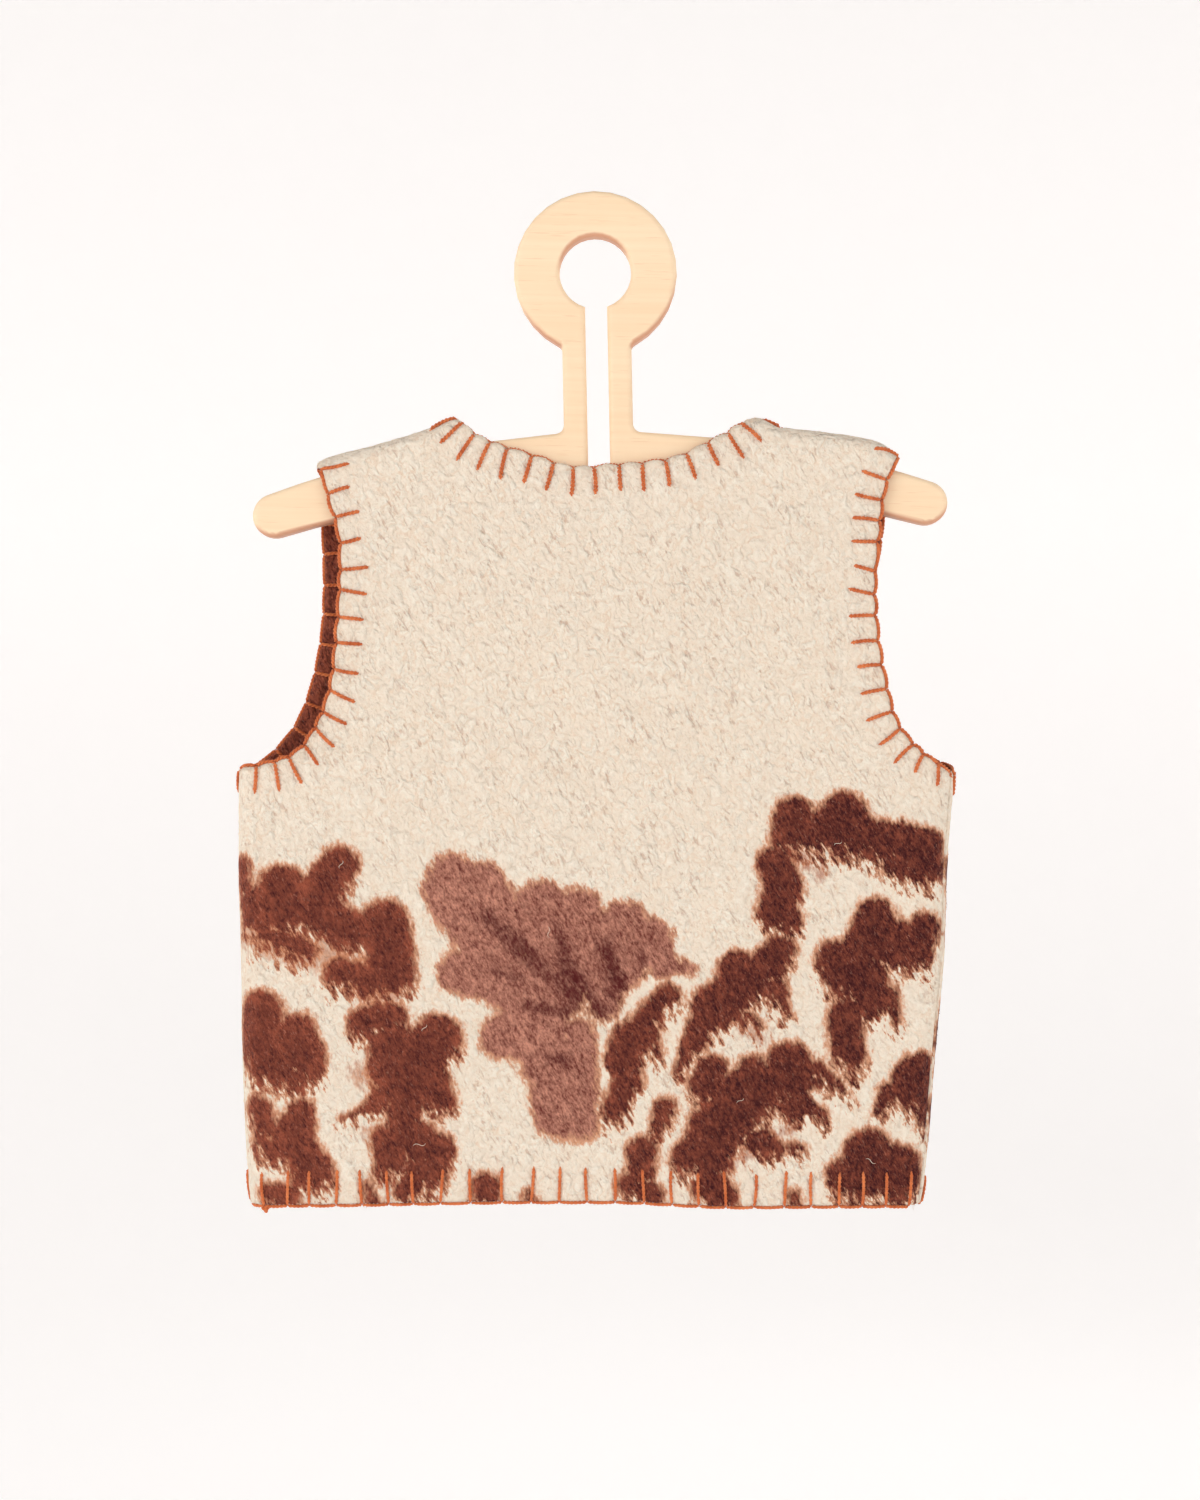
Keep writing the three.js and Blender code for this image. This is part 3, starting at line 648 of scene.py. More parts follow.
def make_panels():
    """The back and the two fronts, with their stitches."""
    spacing = bpy.context.scene.vest_stitching.spacing / MM
    random = np.random.default_rng(31)
    left, right = outer_side(BACK, LEFT), outer_side(BACK, RIGHT)
    peaks = [(x, float(ridge_up(x)) - SEAM_GAP / 2) for x in (LEFT_PEAK_X, RIGHT_PEAK_X)]
    neck_rows = [(x, float(up_of(x, z))) for x, z in BACK_NECK]
    neck = Stretch(smooth_line([peaks[0], *neck_rows, peaks[1]]), BACK_NECK_COLUMNS, "neck")
    columns = 2 * SHOULDER_COLUMNS + BACK_NECK_COLUMNS
    hem = Stretch(hem_line(left[0].line[0, 0], right[0].line[0, 0]), columns, "hem")
    neck.stitch_by_table(NECK_STITCHES)
    left[1].stitch_by_table(LEFT_ARMHOLE_STITCHES)
    right[1].stitch_by_table(RIGHT_ARMHOLE_STITCHES)
    hem_across = [across_of(x, float(hem_height(x))) for x in HEM_STITCHES]
    lean = random.uniform(-1.2, 1.2, len(hem_across))
    length = random.uniform(14.8, 16.4, len(hem_across))
    tips = [(a + l, float(hem_height(a)) + n) for a, l, n in zip(hem_across, lean, length)]
    hem.stitch([a - hem.line[0, 0] for a in hem_across], tips)
    left_shoulder = Stretch(shoulder(LEFT), SHOULDER_COLUMNS)
    right_shoulder = Stretch(shoulder(RIGHT)[::-1], SHOULDER_COLUMNS)
    top = [left_shoulder, neck, right_shoulder]
    panels = [Panel("back", BACK, [hem], right, top, left)]
    for side, name in ((LEFT, "front_left"), (RIGHT, "front_right")):
        outer = outer_side(FRONT, side)
        peak_x = LEFT_PEAK_X if side == LEFT else RIGHT_PEAK_X
        neck_x = CENTRE_X + side * FRONT_OPENING / 2
        hem_x = HEM_CENTRE_X + side * FRONT_OPENING / 2
        peak_up = float(ridge_up(peak_x)) - SEAM_GAP / 2
        turn = np.linspace(0, math.pi / 2, 120)
        neck_across = peak_x + (neck_x - peak_x) * (1 - np.cos(turn))
        neck_line = np.stack([neck_across, peak_up - FRONT_NECK_DEPTH * np.sin(turn)], -1)
        hem = hem_line(outer[0].line[0, 0], hem_x)
        centre = np.linspace(hem[-1], neck_line[-1], 200)
        lines = [hem, shoulder(side), neck_line]
        if side == RIGHT:
            lines = [hem[::-1], neck_line[::-1], shoulder(side)[::-1]]
        columns = SHOULDER_COLUMNS + FRONT_NECK_COLUMNS
        hem = Stretch(lines[0], columns, "hem")
        centre = Stretch(centre, SEAM_ROWS + ARMHOLE_ROWS + ARCH_ROWS, "front centre")
        if side == LEFT:
            top = [Stretch(lines[1], SHOULDER_COLUMNS), Stretch(lines[2], FRONT_NECK_COLUMNS, "neck")]
            panel = Panel(name, FRONT, [hem], [centre], top, outer, mirrored=True)
        else:
            top = [Stretch(lines[1], FRONT_NECK_COLUMNS, "neck"), Stretch(lines[2], SHOULDER_COLUMNS)]
            panel = Panel(name, FRONT, [hem], outer, top, [centre], mirrored=True)
        for stretch, outward in panel.open_edges:
            stretch.stitch_evenly(outward, spacing, random)
        panels.append(panel)
    for panel in panels:
        panel.prepare()
    return panels


# Meshes


def new_piece(name, mesh, material):
    piece = bpy.data.objects.new(name, mesh)
    bpy.context.scene.collection.objects.link(piece)
    mesh.materials.clear()
    mesh.materials.append(material)
    mesh.shade_smooth()
    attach(piece, "root")
    return piece


def fill_attributes(mesh, values):
    for name, numbers in values.items():
        attribute = mesh.attributes.new(name, "FLOAT", "POINT")
        attribute.data.foreach_set("value", np.asarray(numbers, np.float32))


def merge_and_close(mesh, boundary_only=False):
    """Merges the vertices that share a place and turns the faces outwards."""
    shell = bmesh.new()
    shell.from_mesh(mesh)
    vertices = [v for v in shell.verts if v.is_boundary or not boundary_only]
    bmesh.ops.remove_doubles(shell, verts=vertices, dist=2e-6)
    bmesh.ops.recalc_face_normals(shell, faces=shell.faces)
    shell.to_mesh(mesh)
    shell.free()


def panel_mesh(panel):
    """A panel as one closed shell: a grid for each skin, which meet along the rounded edge."""
    rows, columns = panel.grid.shape[:2]
    shell = bmesh.new()
    for _ in (OUTSIDE, INSIDE):
        bmesh.ops.create_grid(shell, x_segments=columns - 1, y_segments=rows - 1, size=1)
    mesh = bpy.data.meshes.new(panel.name + "_cloth")
    shell.to_mesh(mesh)
    shell.free()
    flat = panel.flat
    outer, inner = panel.place(flat, OUTSIDE), panel.place(flat, INSIDE)
    rim = np.ones((rows, columns), bool)
    rim[1:-1, 1:-1] = False
    rim = rim.ravel()
    outer[rim] = inner[rim] = (outer[rim] + inner[rim]) / 2
    mesh.vertices.foreach_set("co", np.vstack([outer, inner]).astype(np.float32).ravel())
    outside = np.concatenate([np.where(rim, 0.5, 1), np.where(rim, 0.5, 0)])
    pattern = {key: np.tile(value, 2) for key, value in panel.pattern(flat).items()}
    fill_attributes(mesh, {"outside": outside, **pattern})
    low, size = flat.min(0), np.ptp(flat, 0)
    chart = 0.004 + 0.992 * (flat - low) / size
    chart = np.vstack([chart * (0.49, 1), chart * (0.49, 1) + (0.505, 0)])
    corners = np.zeros(len(mesh.loops), np.int32)
    mesh.loops.foreach_get("vertex_index", corners)
    uv = mesh.uv_layers.new(name="OFBake")
    uv.data.foreach_set("uv", chart[corners].astype(np.float32).ravel())
    merge_and_close(mesh, boundary_only=True)
    return mesh


def thread_mesh(name, paths, radius, profile, sides, values=None):
    """Threads of one length of path each, as tubes that close to a point at both ends."""
    count, points = paths.shape[:2]
    curve = bpy.data.curves.new(name, "CURVE")
    curve.dimensions = "3D"
    curve.bevel_depth = radius
    curve.bevel_resolution = {4: 0, 6: 1}[sides]
    for path in paths:
        spline = curve.splines.new("POLY")
        spline.points.add(points - 1)
        spline.points.foreach_set("co", np.column_stack([path, np.ones(points)]).ravel())
        spline.points.foreach_set("radius", profile)
    holder = bpy.data.objects.new(name, curve)
    mesh = bpy.data.meshes.new_from_object(holder)
    bpy.data.objects.remove(holder)
    bpy.data.curves.remove(curve)
    mesh.name = name
    own = len(mesh.vertices) // count
    fill_attributes(mesh, {key: np.repeat(value, own) for key, value in (values or {}).items()})
    chart = mesh.uv_layers[0]
    chart.name = "OFBake"
    corners = np.zeros(2 * len(mesh.loops), np.float32)
    chart.data.foreach_get("uv", corners)
    cells = math.ceil(math.sqrt(count))
    cell = np.repeat(np.arange(count), len(mesh.loops) // count)
    corners = 0.04 + 0.92 * corners.reshape(-1, 2)
    corners = (corners + np.stack([cell % cells, cell // cells], -1)) / cells
    chart.data.foreach_set("uv", corners.astype(np.float32).ravel())
    merge_and_close(mesh)
    return mesh


# Stitching
RUN_POINTS = 17
YARN_TWIST = 3.4
STRAND_SHARE = 0.27
KNOT_PLACE = (-141.4, -11.6, -418.6)
KNOT_SIZE = 0.36

# Loose fibres
FIBRE_RADIUS = 0.00008
CURL_RADIUS = 0.0001
EDGE_FIBRE_SHARE = 0.4


def yarn(path, facing, width, phase):
    """The two strands that a yarn is twisted from, about a path."""
    along = np.gradient(path, axis=0)
    along /= np.linalg.norm(along, axis=1, keepdims=True)
    across = np.cross(along, facing)
    across /= np.linalg.norm(across, axis=1, keepdims=True)
    out = np.cross(across, along)
    run = np.append(0, np.cumsum(np.linalg.norm(np.diff(path, axis=0), axis=1)))
    strands = []
    for start in (phase, phase + math.pi):
        turn = (start + 2 * math.pi * run / (YARN_TWIST * MM))[:, None]
        strands.append(path + width / 4 * (across * np.cos(turn) + out * np.sin(turn)))
    return strands


def stitch_paths(panel, width, random):
    """Strands for every stitch of a panel: a leg on each skin, and a run along the edge."""
    strands = []
    t = np.linspace(0, 1, RUN_POINTS)
    sink = smooth_step(0.84, 1, t)
    for stretch, outward in panel.open_edges:
        thick = width * stretch.yarn_share
        feet, along = stretch.at(stretch.feet)
        out = outward * np.stack([along[:, 1], -along[:, 0]], -1)
        for foot, direction, tip in zip(feet, out, stretch.tips):
            side = np.array((-(tip - foot)[1], (tip - foot)[0])) / np.linalg.norm(tip - foot)
            for skin in (OUTSIDE, INSIDE):
                bow = side * random.uniform(-0.5, 0.5)
                flat = foot + (tip - foot) * t[:, None] + bow * np.sin(math.pi * t)[:, None]
                flat = flat + direction * (0.7 * np.clip(1 - 3 * t, 0, 1))[:, None]
                lift = 0.62 * smooth_step(0, 0.1, t) - 1.7 * sink
                path = panel.place(flat, skin, lift)
                facing = cloth_normal(panel.face, foot[None])[0]
                strands += yarn(path, facing, thick, random.uniform(0, 6))
        for start, end in zip(stretch.feet, stretch.feet[1:]):
            runs = start + (end - start) * t
            edge, along = stretch.at(runs)
            out = outward * np.stack([along[:, 1], -along[:, 0]], -1)
            hidden = stretch.hiding * random.uniform(0.6, 1) * (1 - (1 - np.sin(math.pi * t)) ** 3)
            outwards, lift = SHOWN_RUN[:, None] * (1 - hidden) + HIDDEN_RUN[:, None] * hidden
            path = panel.place(edge + out * outwards[:, None], OUTSIDE, lift)
            strands += yarn(path, cloth_normal(panel.face, edge[:1])[0], thick, random.uniform(0, 6))
    return np.array(strands)


def knot_path():
    """A small overhand knot at the hem's left corner."""
    turn = np.linspace(0, 2 * math.pi, 40)
    across = np.sin(turn) + 2 * np.sin(2 * turn)
    up = np.cos(turn) - 2 * np.cos(2 * turn)
    loop = np.stack([across, 0.8 * np.sin(3 * turn), up], -1)
    return MM * (np.array(KNOT_PLACE) + KNOT_SIZE * loop)


# Materials


class Signal:
    """An output of a material's node, which takes part in sums as a number does."""

    def __init__(self, shader, socket):
        self.shader = shader
        self.socket = socket

    def __add__(self, other):
        return self.shader.math("ADD", self, other)

    __radd__ = __add__

    def __sub__(self, other):
        return self.shader.math("SUBTRACT", self, other)

    def __rsub__(self, other):
        return self.shader.math("SUBTRACT", other, self)

    def __mul__(self, other):
        return self.shader.math("MULTIPLY", self, other)

    __rmul__ = __mul__


class Shader:
    """A material and the calls that build its nodes."""

    def __init__(self, name):
        self.material = bpy.data.materials.new(name)
        self.material.use_nodes = True
        self.tree = self.material.node_tree
        self.tree.nodes.clear()
        self.place = self.node("ShaderNodeTexCoord", output="Object")

    def node(self, kind, settings=None, inputs=None, output=0):
        made = self.tree.nodes.new(kind)
        for key, value in (settings or {}).items():
            setattr(made, key, value)
        for key, value in (inputs or {}).items():
            if isinstance(value, Signal):
                self.tree.links.new(value.socket, made.inputs[key])
            else:
                made.inputs[key].default_value = value
        return Signal(self, made.outputs[output])

    def math(self, operation, *values):
        return self.node("ShaderNodeMath", {"operation": operation}, dict(enumerate(values)))

    def value(self, name):
        return self.node("ShaderNodeAttribute", {"attribute_name": name}, output="Fac")

    def mapped(self, rotation, scale):
        """Object places, turned and then scaled along each axis."""
        inputs = {"Vector": self.place, "Rotation": rotation, "Scale": scale}
        return self.node("ShaderNodeMapping", {"vector_type": "TEXTURE"}, inputs)

    def noise(self, place, scale, detail=2, distortion=0, roughness=0.5):
        inputs = {"Vector": place, "Scale": scale, "Detail": detail, "Distortion": distortion}
        inputs["Roughness"] = roughness
        return self.node("ShaderNodeTexNoise", inputs=inputs)

    def billow(self, place, scale):
        """Soft domes with creases between them, as matted wool has."""
        swing = self.noise(place, scale, detail=1, distortion=0.3) - 0.5
        return self.math("SQRT", swing * swing + 0.0012) * 3.2

    def part(self, vector, axis):
        return self.node("ShaderNodeSeparateXYZ", inputs={"Vector": vector}, output=axis)

    def step(self, low, high, value):
        """0 below low and 1 above high, with a smooth rise between."""
        settings = {"interpolation_type": "SMOOTHSTEP"}
        inputs = {"Value": value, "From Min": low, "From Max": high}
        return self.node("ShaderNodeMapRange", settings, inputs)

    def blend(self, share, first, second):
        """One colour going over to another."""
        colours = [c if isinstance(c, Signal) else (*c, 1) for c in (first, second)]
        inputs = {0: share, 6: colours[0], 7: colours[1]}
        return self.node("ShaderNodeMix", {"data_type": "RGBA"}, inputs, output=2)

    def finish(self, colour, roughness, height=None, depth=0.001, strength=1, constants=None):
        inputs = {"Base Color": colour, "Roughness": roughness, **(constants or {})}
        if height is not None:
            bump = {"Height": height, "Distance": depth, "Strength": strength}
            inputs["Normal"] = self.node("ShaderNodeBump", inputs=bump)
        surface = self.node("ShaderNodeBsdfPrincipled", inputs=inputs)
        output = self.tree.nodes.new("ShaderNodeOutputMaterial")
        self.tree.links.new(surface.socket, output.inputs["Surface"])
        return self.material


def wool_material(colours, name, bumpy=True):
    """Napped double-faced wool: cream with brown and taupe woven in, and the reverse inside."""
    shader = Shader(name)
    slanting = shader.mapped((0, -0.35, 0), (1, 1, 1.2))
    hairy = shader.mapped((0, -0.5, 0), (1, 1, 3))
    hanging = shader.mapped((0, -0.1, 0), (1, 1, 2.2))
    tufts = shader.billow(slanting, 200)
    curls = shader.billow(slanting, 520)
    matted = shader.noise(slanting, 320, detail=4, roughness=0.6)
    clumps = shader.noise(slanting, 95, detail=2)
    fibres = shader.noise(hairy, 1900, detail=2, distortion=0.4)
    grain = shader.noise(shader.mapped((0, -0.5, 0), (1, 1, 1.3)), 900, detail=4, roughness=0.8)
    strokes = shader.noise(hairy, 700, detail=2, distortion=0.6)
    parting = shader.step(0.57, 0.7, strokes) * shader.step(0.35, 0.6, clumps)

    ragged = 0.45 * shader.noise(hanging, 900, detail=3) + 0.55 * shader.noise(hanging, 300, detail=3) - 0.5
    hairs = shader.noise(hairy, 560, detail=4, distortion=0.3, roughness=0.65) - 0.5
    feather = shader.value("feather")
    locks = shader.noise(hairy, 210, detail=2, distortion=0.3) - 0.5
    strands = hairs * (3 + 30 * feather) + locks * 16 * feather
    brown_field = shader.value("brown") + ragged * (9 + 5 * feather) + strands
    taupe_field = shader.value("taupe") + ragged * 9 + hairs * 8
    figure = shader.math("MAXIMUM", brown_field, taupe_field)
    halo = shader.step(-3.2 - 0.8 * feather, -0.6 - 1.5 * feather, figure + 5 * (grain - 0.5))
    brown = shader.step(-1.7 - 1.6 * feather, 1.3 + 1.5 * feather, brown_field)
    taupe = shader.step(-2.2, 1.6, taupe_field)
    thin = 0.7 * shader.step(-2.5, 3.5, shader.value("faded") + ragged * 22)
    vein = shader.step(-2.6, 3.6, shader.value("vein") + ragged * 10 + hairs * 9)
    any_figure = shader.math("MAXIMUM", brown, taupe)
    outside = shader.step(0.35, 0.65, shader.value("outside") + ragged * 0.4)

    between_tufts = (1 - shader.step(0.11, 0.26, tufts)) * shader.step(0.42, 0.6, matted)
    between_curls = (1 - shader.step(0.11, 0.3, curls)) * shader.step(0.45, 0.65, clumps)
    swells = shader.step(0.34, 0.64, 1 - 0.6 * matted - 0.4 * clumps)
    shade = 0.25 * swells + 0.3 * between_tufts + 0.2 * between_curls
    shade = shade + 0.25 * shader.step(0.45, 0.75, 1 - grain)
    ground = shader.blend(shade, colours.cream, colours.cream_shade)
    # Painted shade in the fine partings of the nap
    ground = shader.blend(0.35 * parting, ground, colours.groove_shade)
    x = shader.part(shader.place, 0)
    mottle = 0.3 * grain + 0.25 * strokes + 0.25 * fibres + 0.1 * matted + 0.1 * tufts
    # Random mottle of the dye mixes the lit and painted-shade colours of the brown and taupe. Painted light
    # is laid over it: they grow lighter toward the left, where the key light is.
    dye_and_painted_light = shader.step(0.34, 0.64, mottle - 0.25 * x)
    flecks = shader.step(0.6, 0.72, shader.noise(hairy, 1500, detail=2))
    brown_cloth = shader.blend(dye_and_painted_light, colours.brown_shade, colours.brown)
    brown_cloth = shader.blend(0.3 * flecks, brown_cloth, colours.taupe)
    deep = shader.step(0, 9, shader.value("brown") + ragged * 12)
    brown_cloth = shader.blend(0.35 * deep, brown_cloth, colours.brown_shade)
    taupe_cloth = shader.blend(dye_and_painted_light, colours.taupe_shade, colours.taupe)
    dark = vein * (1 - 0.45 * dye_and_painted_light)
    # Veins of the leaf, plus a little painted shade in the partings of the nap
    taupe_cloth = shader.blend(0.15 * parting + dark, taupe_cloth, colours.vein)
    face = shader.blend(0.85 * halo, ground, colours.halo)
    face = shader.blend(thin, face, shader.blend(dye_and_painted_light, colours.brown, colours.halo))
    face = shader.blend(taupe, face, taupe_cloth)
    face = shader.blend(brown, face, brown_cloth)
    reverse = shader.blend(any_figure, brown_cloth, ground)
    colour = shader.blend(outside, reverse, face)
    height = None
    if bumpy:
        domes = 1.1 * tufts + 0.35 * curls + matted
        height = domes + 0.7 * clumps + 0.35 * grain + 0.15 * fibres - 0.3 * parting
    wool = {"Sheen Weight": 0.05, "Sheen Roughness": 0.6, "Specular IOR Level": 0.1}
    return shader.finish(colour, 0.95, height, 0.0018, 0.8, wool)


def yarn_material(colours):
    """Twisted wool yarn, a little uneven: noise mixes its lit colour with its painted shade."""
    shader = Shader("stitch_yarn")
    uneven = shader.noise(shader.place, 240, detail=3)
    fibres = shader.noise(shader.mapped((0, 0.3, 0), (1, 1, 2)), 4200, detail=2, distortion=0.4)
    lit = shader.step(0.32, 0.7, 0.5 * uneven + 0.5 * fibres)
    colour = shader.blend(lit, colours.yarn_shade, colours.yarn)
    wool = {"Sheen Weight": 0.15, "Sheen Roughness": 0.5, "Specular IOR Level": 0.2}
    return shader.finish(colour, 0.85, fibres, 0.0003, 0.6, wool)


def wood_material(colours):
    """Pale, finely sanded wood with its grain along the bar."""
    shader = Shader("hanger_wood")
    along = (0, 0.02, 0)
    bent = shader.noise(shader.mapped(along, (8, 1, 1)), 30, detail=2)
    lines = shader.noise(shader.mapped(along, (45, 1, 1)), 420, detail=3, distortion=0.3)
    dashes = shader.noise(shader.mapped(along, (24, 1, 1)), 1700, detail=2)
    pores = shader.step(0.63, 0.75, dashes)
    lit = shader.step(0.25, 0.75, 0.5 * lines + 0.5 * bent)
    colour = shader.blend(lit, colours.wood_shade, colours.wood)
    colour = shader.blend(0.4 * pores, colour, colours.wood_pore)
    # Painted shade: faces that look down, such as the lower edges, are darkened toward a warm tan
    facing = shader.node("ShaderNodeTexCoord", output="Normal")
    underside = shader.step(0.05, 0.6, 0.2 * shader.part(facing, 0) - shader.part(facing, 2))
    colour = shader.blend(0.9 * underside, colour, colours.wood_underside_shade)
    height = 0.4 * lines - 0.5 * pores
    roughness = 0.42 + 0.12 * lines
    return shader.finish(colour, roughness, height, 0.00015, 0.25, {"Specular IOR Level": 0.4})


# What a user would change


def colour(name, description, default):
    return bpy.props.FloatVectorProperty(
        name=name, description=description, subtype="COLOR", size=3, min=0, max=1, default=default
    )


def length(name, description, default, low, high):
    return bpy.props.FloatProperty(
        name=name, description=description, default=default, min=low, max=high, subtype="DISTANCE",
        unit="LENGTH", precision=5,
    )


class ClothSettings(bpy.types.PropertyGroup):
    cream: colour("Cream", "Ground of the cloth where the nap catches light", srgb(255, 246, 229))
    cream_shade: colour("Cream in Shade", "Ground between the tufts", srgb(228, 188, 152))
    # Colour of the painted shade in the nap's partings
    groove_shade: colour("Grooves", "Fine lines where the nap parts", srgb(184, 122, 88))
    halo: colour("Halo", "Thin wool round the brown figures", srgb(222, 150, 106))
    brown: colour("Brown", "Brown wool where the nap catches light", srgb(170, 90, 66))
    brown_shade: colour("Brown in Shade", "Brown wool between the tufts", srgb(58, 16, 22))
    taupe: colour("Taupe", "Taupe wool of the fan-shaped leaf", srgb(220, 154, 130))
    taupe_shade: colour("Taupe in Shade", "Taupe wool between the tufts", srgb(104, 44, 38))
    vein: colour("Veins", "Veins of the leaf", srgb(86, 26, 26))
    nap_height: length("Nap Height", "Height of the matted tufts", 0.0002, 0, 0.001)
    fibre_length: length("Fibre Length", "Length of the loose fibres", 0.0035, 0.001, 0.008)
    fibres: bpy.props.IntProperty(
        name="Fibres",
        description="Loose fibres on the back; each front has half",
        default=6000,
        min=0,
        max=9000,
    )


class StitchingSettings(bpy.types.PropertyGroup):
    yarn: colour("Yarn", "Yarn where it catches light", srgb(242, 144, 88))
    yarn_shade: colour("Yarn in Shade", "Yarn between its strands", srgb(196, 92, 48))
    width: length("Yarn Width", "Width of the twisted yarn", 0.0018, 0.0005, 0.003)
    spacing: length("Spacing", "Distance between two stitches of the fronts", 0.0115, 0.006, 0.02)


class WoodSettings(bpy.types.PropertyGroup):
    wood: colour("Wood", "Light wood between its lines", srgb(255, 231, 196))
    wood_shade: colour("Growth Lines", "Slightly darker lines of the grain", srgb(252, 219, 180))
    wood_pore: colour("Pores", "Short fine marks in the grain", srgb(238, 190, 146))
    # Colour of the painted shade on the hanger's downward faces
    wood_underside_shade: colour("Lower Edges", "Warmer wood of the edges that face down", srgb(212, 152, 120))


class StageSettings(bpy.types.PropertyGroup):
    floor: colour("Floor", "Pale floor that curves up all round", srgb(250, 248, 247))
    drop: length("Floor Drop", "Height of the vest's peg above the floor", 1.0, 0.5, 2)
    key_power: bpy.props.FloatProperty(
        name="Key Light", description="Power of the large light at the left", default=15, min=0, max=500,
        subtype="POWER", unit="POWER",
    )


# Operators


class VEST_OT_cloth(bpy.types.Operator):
    """Make the napped back and fronts"""

    bl_idname = "vest.cloth"
    bl_label = "Cloth Panels"

    def execute(self, context):
        material = wool_material(context.scene.vest_cloth, "wool_cloth")
        PANELS.clear()
        for panel in cloth_panels():
            piece = new_piece(panel.name + "_cloth", panel_mesh(panel), material)
            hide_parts(panel.name)
        return {"FINISHED"}


class VEST_OT_stitching(bpy.types.Operator):
    """Sew the blanket stitches along the open edges"""

    bl_idname = "vest.stitching"
    bl_label = "Blanket Stitching"

    def execute(self, context):
        settings = context.scene.vest_stitching
        material = yarn_material(settings)
        random = np.random.default_rng(47)
        profile = np.array([0, 0.9, *[1] * (RUN_POINTS - 4), 0.9, 0], np.float32)
        for panel in cloth_panels():
            strands = stitch_paths(panel, settings.width, random)
            name = panel.name + "_stitches"
            mesh = thread_mesh(name, strands, STRAND_SHARE * settings.width, profile, 6)
            new_piece(name, mesh, material)
        path = knot_path()
        strands = np.array(yarn(path, Vector((0, -1, 0.01)), settings.width, 0))
        ends = np.ones(len(path), np.float32)
        ends[[0, -1]] = 0
        mesh = thread_mesh("hem_knot", strands, STRAND_SHARE * settings.width, ends, 6)
        new_piece("hem_knot", mesh, material)
        return {"FINISHED"}


class VEST_OT_nap(bpy.types.Operator):
    """Scatter loose fibres over the cloth and its edges"""

    bl_idname = "vest.nap"
    bl_label = "Loose Fibres"

    def execute(self, context):
        settings = context.scene.vest_cloth
        material = wool_material(settings, "wool_fibres", bumpy=False)
        random = np.random.default_rng(59)
        plain = {key: np.full(len(CURLS), value) for key, value in PLAIN_WOOL.items()}
        profile = np.array([0, 0.8, *[1] * 5, 0.8, 0], np.float32)
        paths = curl_paths(cloth_panels()[0])
        mesh = thread_mesh("back_curls", paths, CURL_RADIUS, profile, 4, plain)
        curls = new_piece("back_curls", mesh, material)
        for panel in cloth_panels():
            count = settings.fibres if panel.face == BACK else settings.fibres // 2
            paths, values = fibre_paths(panel, count, settings.fibre_length / MM, random)
            name = panel.name + "_fibres"
            profile = np.array([0, 1, 0.8, 0], np.float32)
            mesh = thread_mesh(name, paths, FIBRE_RADIUS, profile, 4, values)
            piece = new_piece(name, mesh, material)
            panel.area() * MM * MM
        return {"FINISHED"}


def curl_paths(back):
    """A few long cream fibres that lie in small waves on the back."""
    t = np.linspace(0, 1, 9)
    paths = []
    for x, z, heading, reach in CURLS:
        along = np.array((math.cos(math.radians(heading)), math.sin(math.radians(heading))))
        side = np.array((-along[1], along[0]))
        wave = np.sin(2 * math.pi * t)[:, None] * 0.13 * reach
        flat = np.array((x, z)) + along * reach * (t[:, None] - 0.5) + side * wave
        paths.append(back.place(flat, OUTSIDE, 0.5 * np.sin(math.pi * t) ** 0.5))
    return np.array(paths)


def fibre_paths(panel, count, longest, random):
    """Short curved fibres that lie on the nap or stand out from the open edges."""
    edge_count = int(EDGE_FIBRE_SHARE * count)
    cells = random.integers(0, len(panel.flat), count - edge_count)
    roots = panel.flat[cells] + random.uniform(-0.8, 0.8, (len(cells), 2))
    headings = random.normal(-math.pi / 2, 0.7, len(cells))
    rows = panel.open_map.rows
    picked = rows[random.integers(0, len(rows), edge_count)]
    edge_roots = picked[:, :2] - picked[:, 4:6] * random.uniform(0.1, 2.2, (edge_count, 1))
    outward = np.arctan2(picked[:, 5], picked[:, 4]) + random.normal(0, 0.8, edge_count)
    roots = np.vstack([roots, edge_roots])
    headings = np.concatenate([headings, outward])
    reach = longest * random.uniform(0.35, 1, count)
    reach[-edge_count:] *= 0.6
    bend = random.normal(0, 0.5, count)
    flat, lifts = [roots], [np.full(count, -0.25)]
    for height in (0.3, 0.55, 0.35):
        step = np.stack([np.cos(headings), np.sin(headings)], -1) * (reach / 3)[:, None]
        flat.append(flat[-1] + step)
        headings = headings + bend
        lifts.append(random.uniform(0.1, 1.1, count) * height)
    paths = np.stack([panel.place(f, OUTSIDE, lift) for f, lift in zip(flat, lifts)], 1)
    values = panel.pattern(roots)
    values["outside"] = np.ones(count)
    return paths, values


class VEST_OT_hanger(bpy.types.Operator):
    """Smooth the hanger's rounded edges and give it its grain"""

    bl_idname = "vest.hanger"
    bl_label = "Wooden Hanger"

    def execute(self, context):
        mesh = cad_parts["hanger"].data.copy()
        mesh.name = "wooden_hanger"
        body = bmesh.new()
        body.from_mesh(mesh)
        bmesh.ops.remove_doubles(body, verts=body.verts, dist=1e-6)
        body.to_mesh(mesh)
        body.free()
        piece = new_piece("wooden_hanger", mesh, wood_material(context.scene.vest_wood))
        mesh.set_sharp_from_angle(angle=math.radians(50))
        weighted = piece.modifiers.new("Even shading", "WEIGHTED_NORMAL")
        weighted.keep_sharp = True
        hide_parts("hanger")
        return {"FINISHED"}


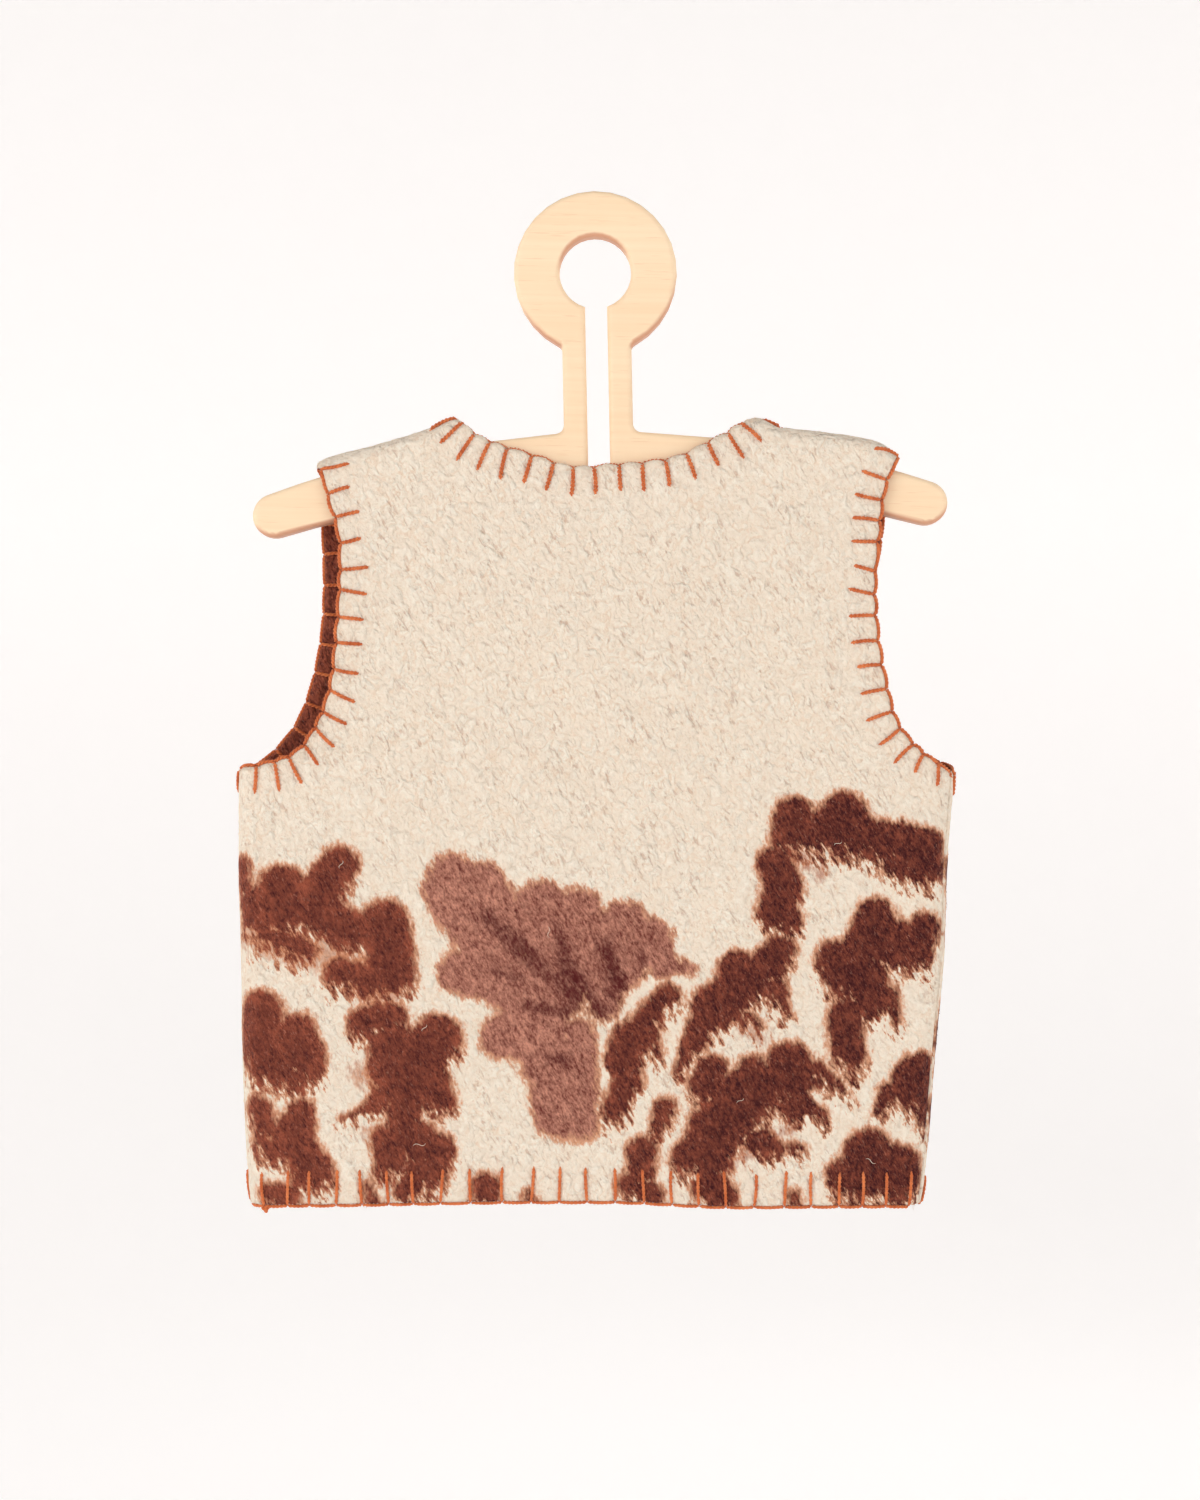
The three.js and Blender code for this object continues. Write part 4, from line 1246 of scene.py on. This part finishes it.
class VEST_OT_stage(bpy.types.Operator):
    """Set up the pale floor, the soft lights and the camera"""

    bl_idname = "vest.stage"
    bl_label = "Stage"

    def execute(self, context):
        settings = context.scene.vest_stage
        scene = context.scene
        bowl = bmesh.new()
        radius, curve = 2.4, 1.2
        turns = np.linspace(0, math.pi / 2, 13)
        profile = [(0, 0), *((radius + curve * math.sin(t), curve * (1 - math.cos(t))) for t in turns)]
        profile.append((radius + curve, 4.0))
        points = [bowl.verts.new((x, 0, z - settings.drop)) for x, z in profile]
        edges = [bowl.edges.new(pair) for pair in zip(points, points[1:])]
        bmesh.ops.spin(
            bowl, geom=points + edges, cent=(0, 0, 0), axis=(0, 0, 1), angle=2 * math.pi, steps=96,
            use_merge=True,
        )
        bmesh.ops.remove_doubles(bowl, verts=bowl.verts, dist=1e-5)
        mesh = bpy.data.meshes.new("studio_floor")
        bowl.to_mesh(mesh)
        bowl.free()
        mesh.shade_smooth()
        floor = bpy.data.objects.new("studio_floor", mesh)
        scene.collection.objects.link(floor)
        shader = Shader("studio_floor")
        glow = {"Emission Color": (1, 0.985, 0.975, 1), "Emission Strength": 0.25}
        mesh.materials.append(shader.finish((*settings.floor, 1), 0.9, constants=glow))
        centre = Vector((0, 0, -0.22))
        lights = (
            ("key", (-1.8, -1.4, 0.6), 1.5, settings.key_power),
            ("fill", (1.9, -0.9, 0.1), 1.8, 0.35 * settings.key_power),
            ("back", (0.5, 1.8, 0.9), 1.5, 0.5 * settings.key_power),
        )
        for name, place, size, power in lights:
            light = bpy.data.lights.new(name, "AREA")
            light.shape = "DISK"
            light.size = size
            light.energy = power
            lamp = bpy.data.objects.new(name, light)
            lamp.location = place
            lamp.rotation_euler = (centre - Vector(place)).to_track_quat("-Z", "Y").to_euler()
            scene.collection.objects.link(lamp)
        world = bpy.data.worlds.new("studio")
        world.use_nodes = True
        world.node_tree.nodes["Background"].inputs["Color"].default_value = (1, 0.99, 0.98, 1)
        world.node_tree.nodes["Background"].inputs["Strength"].default_value = 0.22
        scene.world = world
        scene.view_settings.view_transform = "Standard"
        camera = bpy.data.cameras.new("camera")
        camera.sensor_width = 36
        camera.lens = 36 * 1100 / 645
        camera.clip_end = 30
        viewer = bpy.data.objects.new("camera", camera)
        viewer.location = (0.002, -1.109, -0.2219)
        viewer.rotation_euler = (math.pi / 2, 0, 0)
        scene.collection.objects.link(viewer)
        scene.camera = viewer
        return {"FINISHED"}


class VEST_PT_panel(bpy.types.Panel):
    """The vest's pieces and their sizes and colours"""

    bl_label = "Wool Vest"
    bl_space_type = "VIEW_3D"
    bl_region_type = "UI"
    bl_category = "Wool Vest"

    def draw(self, context):
        for operator, group in STEPS:
            box = self.layout.box()
            box.operator(operator.bl_idname)
            settings = getattr(context.scene, group)
            for key in settings.bl_rna.properties.keys():
                if key not in ("rna_type", "name"):
                    box.prop(settings, key)


GROUPS = {
    "vest_cloth": ClothSettings,
    "vest_stitching": StitchingSettings,
    "vest_wood": WoodSettings,
    "vest_stage": StageSettings,
}
STEPS = (
    (VEST_OT_cloth, "vest_cloth"),
    (VEST_OT_stitching, "vest_stitching"),
    (VEST_OT_nap, "vest_cloth"),
    (VEST_OT_hanger, "vest_wood"),
    (VEST_OT_stage, "vest_stage"),
)


def register():
    for name, group in GROUPS.items():
        bpy.utils.register_class(group)
        setattr(bpy.types.Scene, name, bpy.props.PointerProperty(type=group))
    for operator, _ in STEPS:
        bpy.utils.register_class(operator)
    bpy.utils.register_class(VEST_PT_panel)


def unregister():
    bpy.utils.unregister_class(VEST_PT_panel)
    for operator, _ in reversed(STEPS):
        bpy.utils.unregister_class(operator)
    for name, group in GROUPS.items():
        delattr(bpy.types.Scene, name)
        bpy.utils.unregister_class(group)


def main():
    register()
    bpy.ops.vest.stage()
    bpy.ops.vest.hanger()
    bpy.ops.vest.cloth()
    bpy.ops.vest.stitching()
    bpy.ops.vest.nap()


if __name__ == "__main__":
    main()
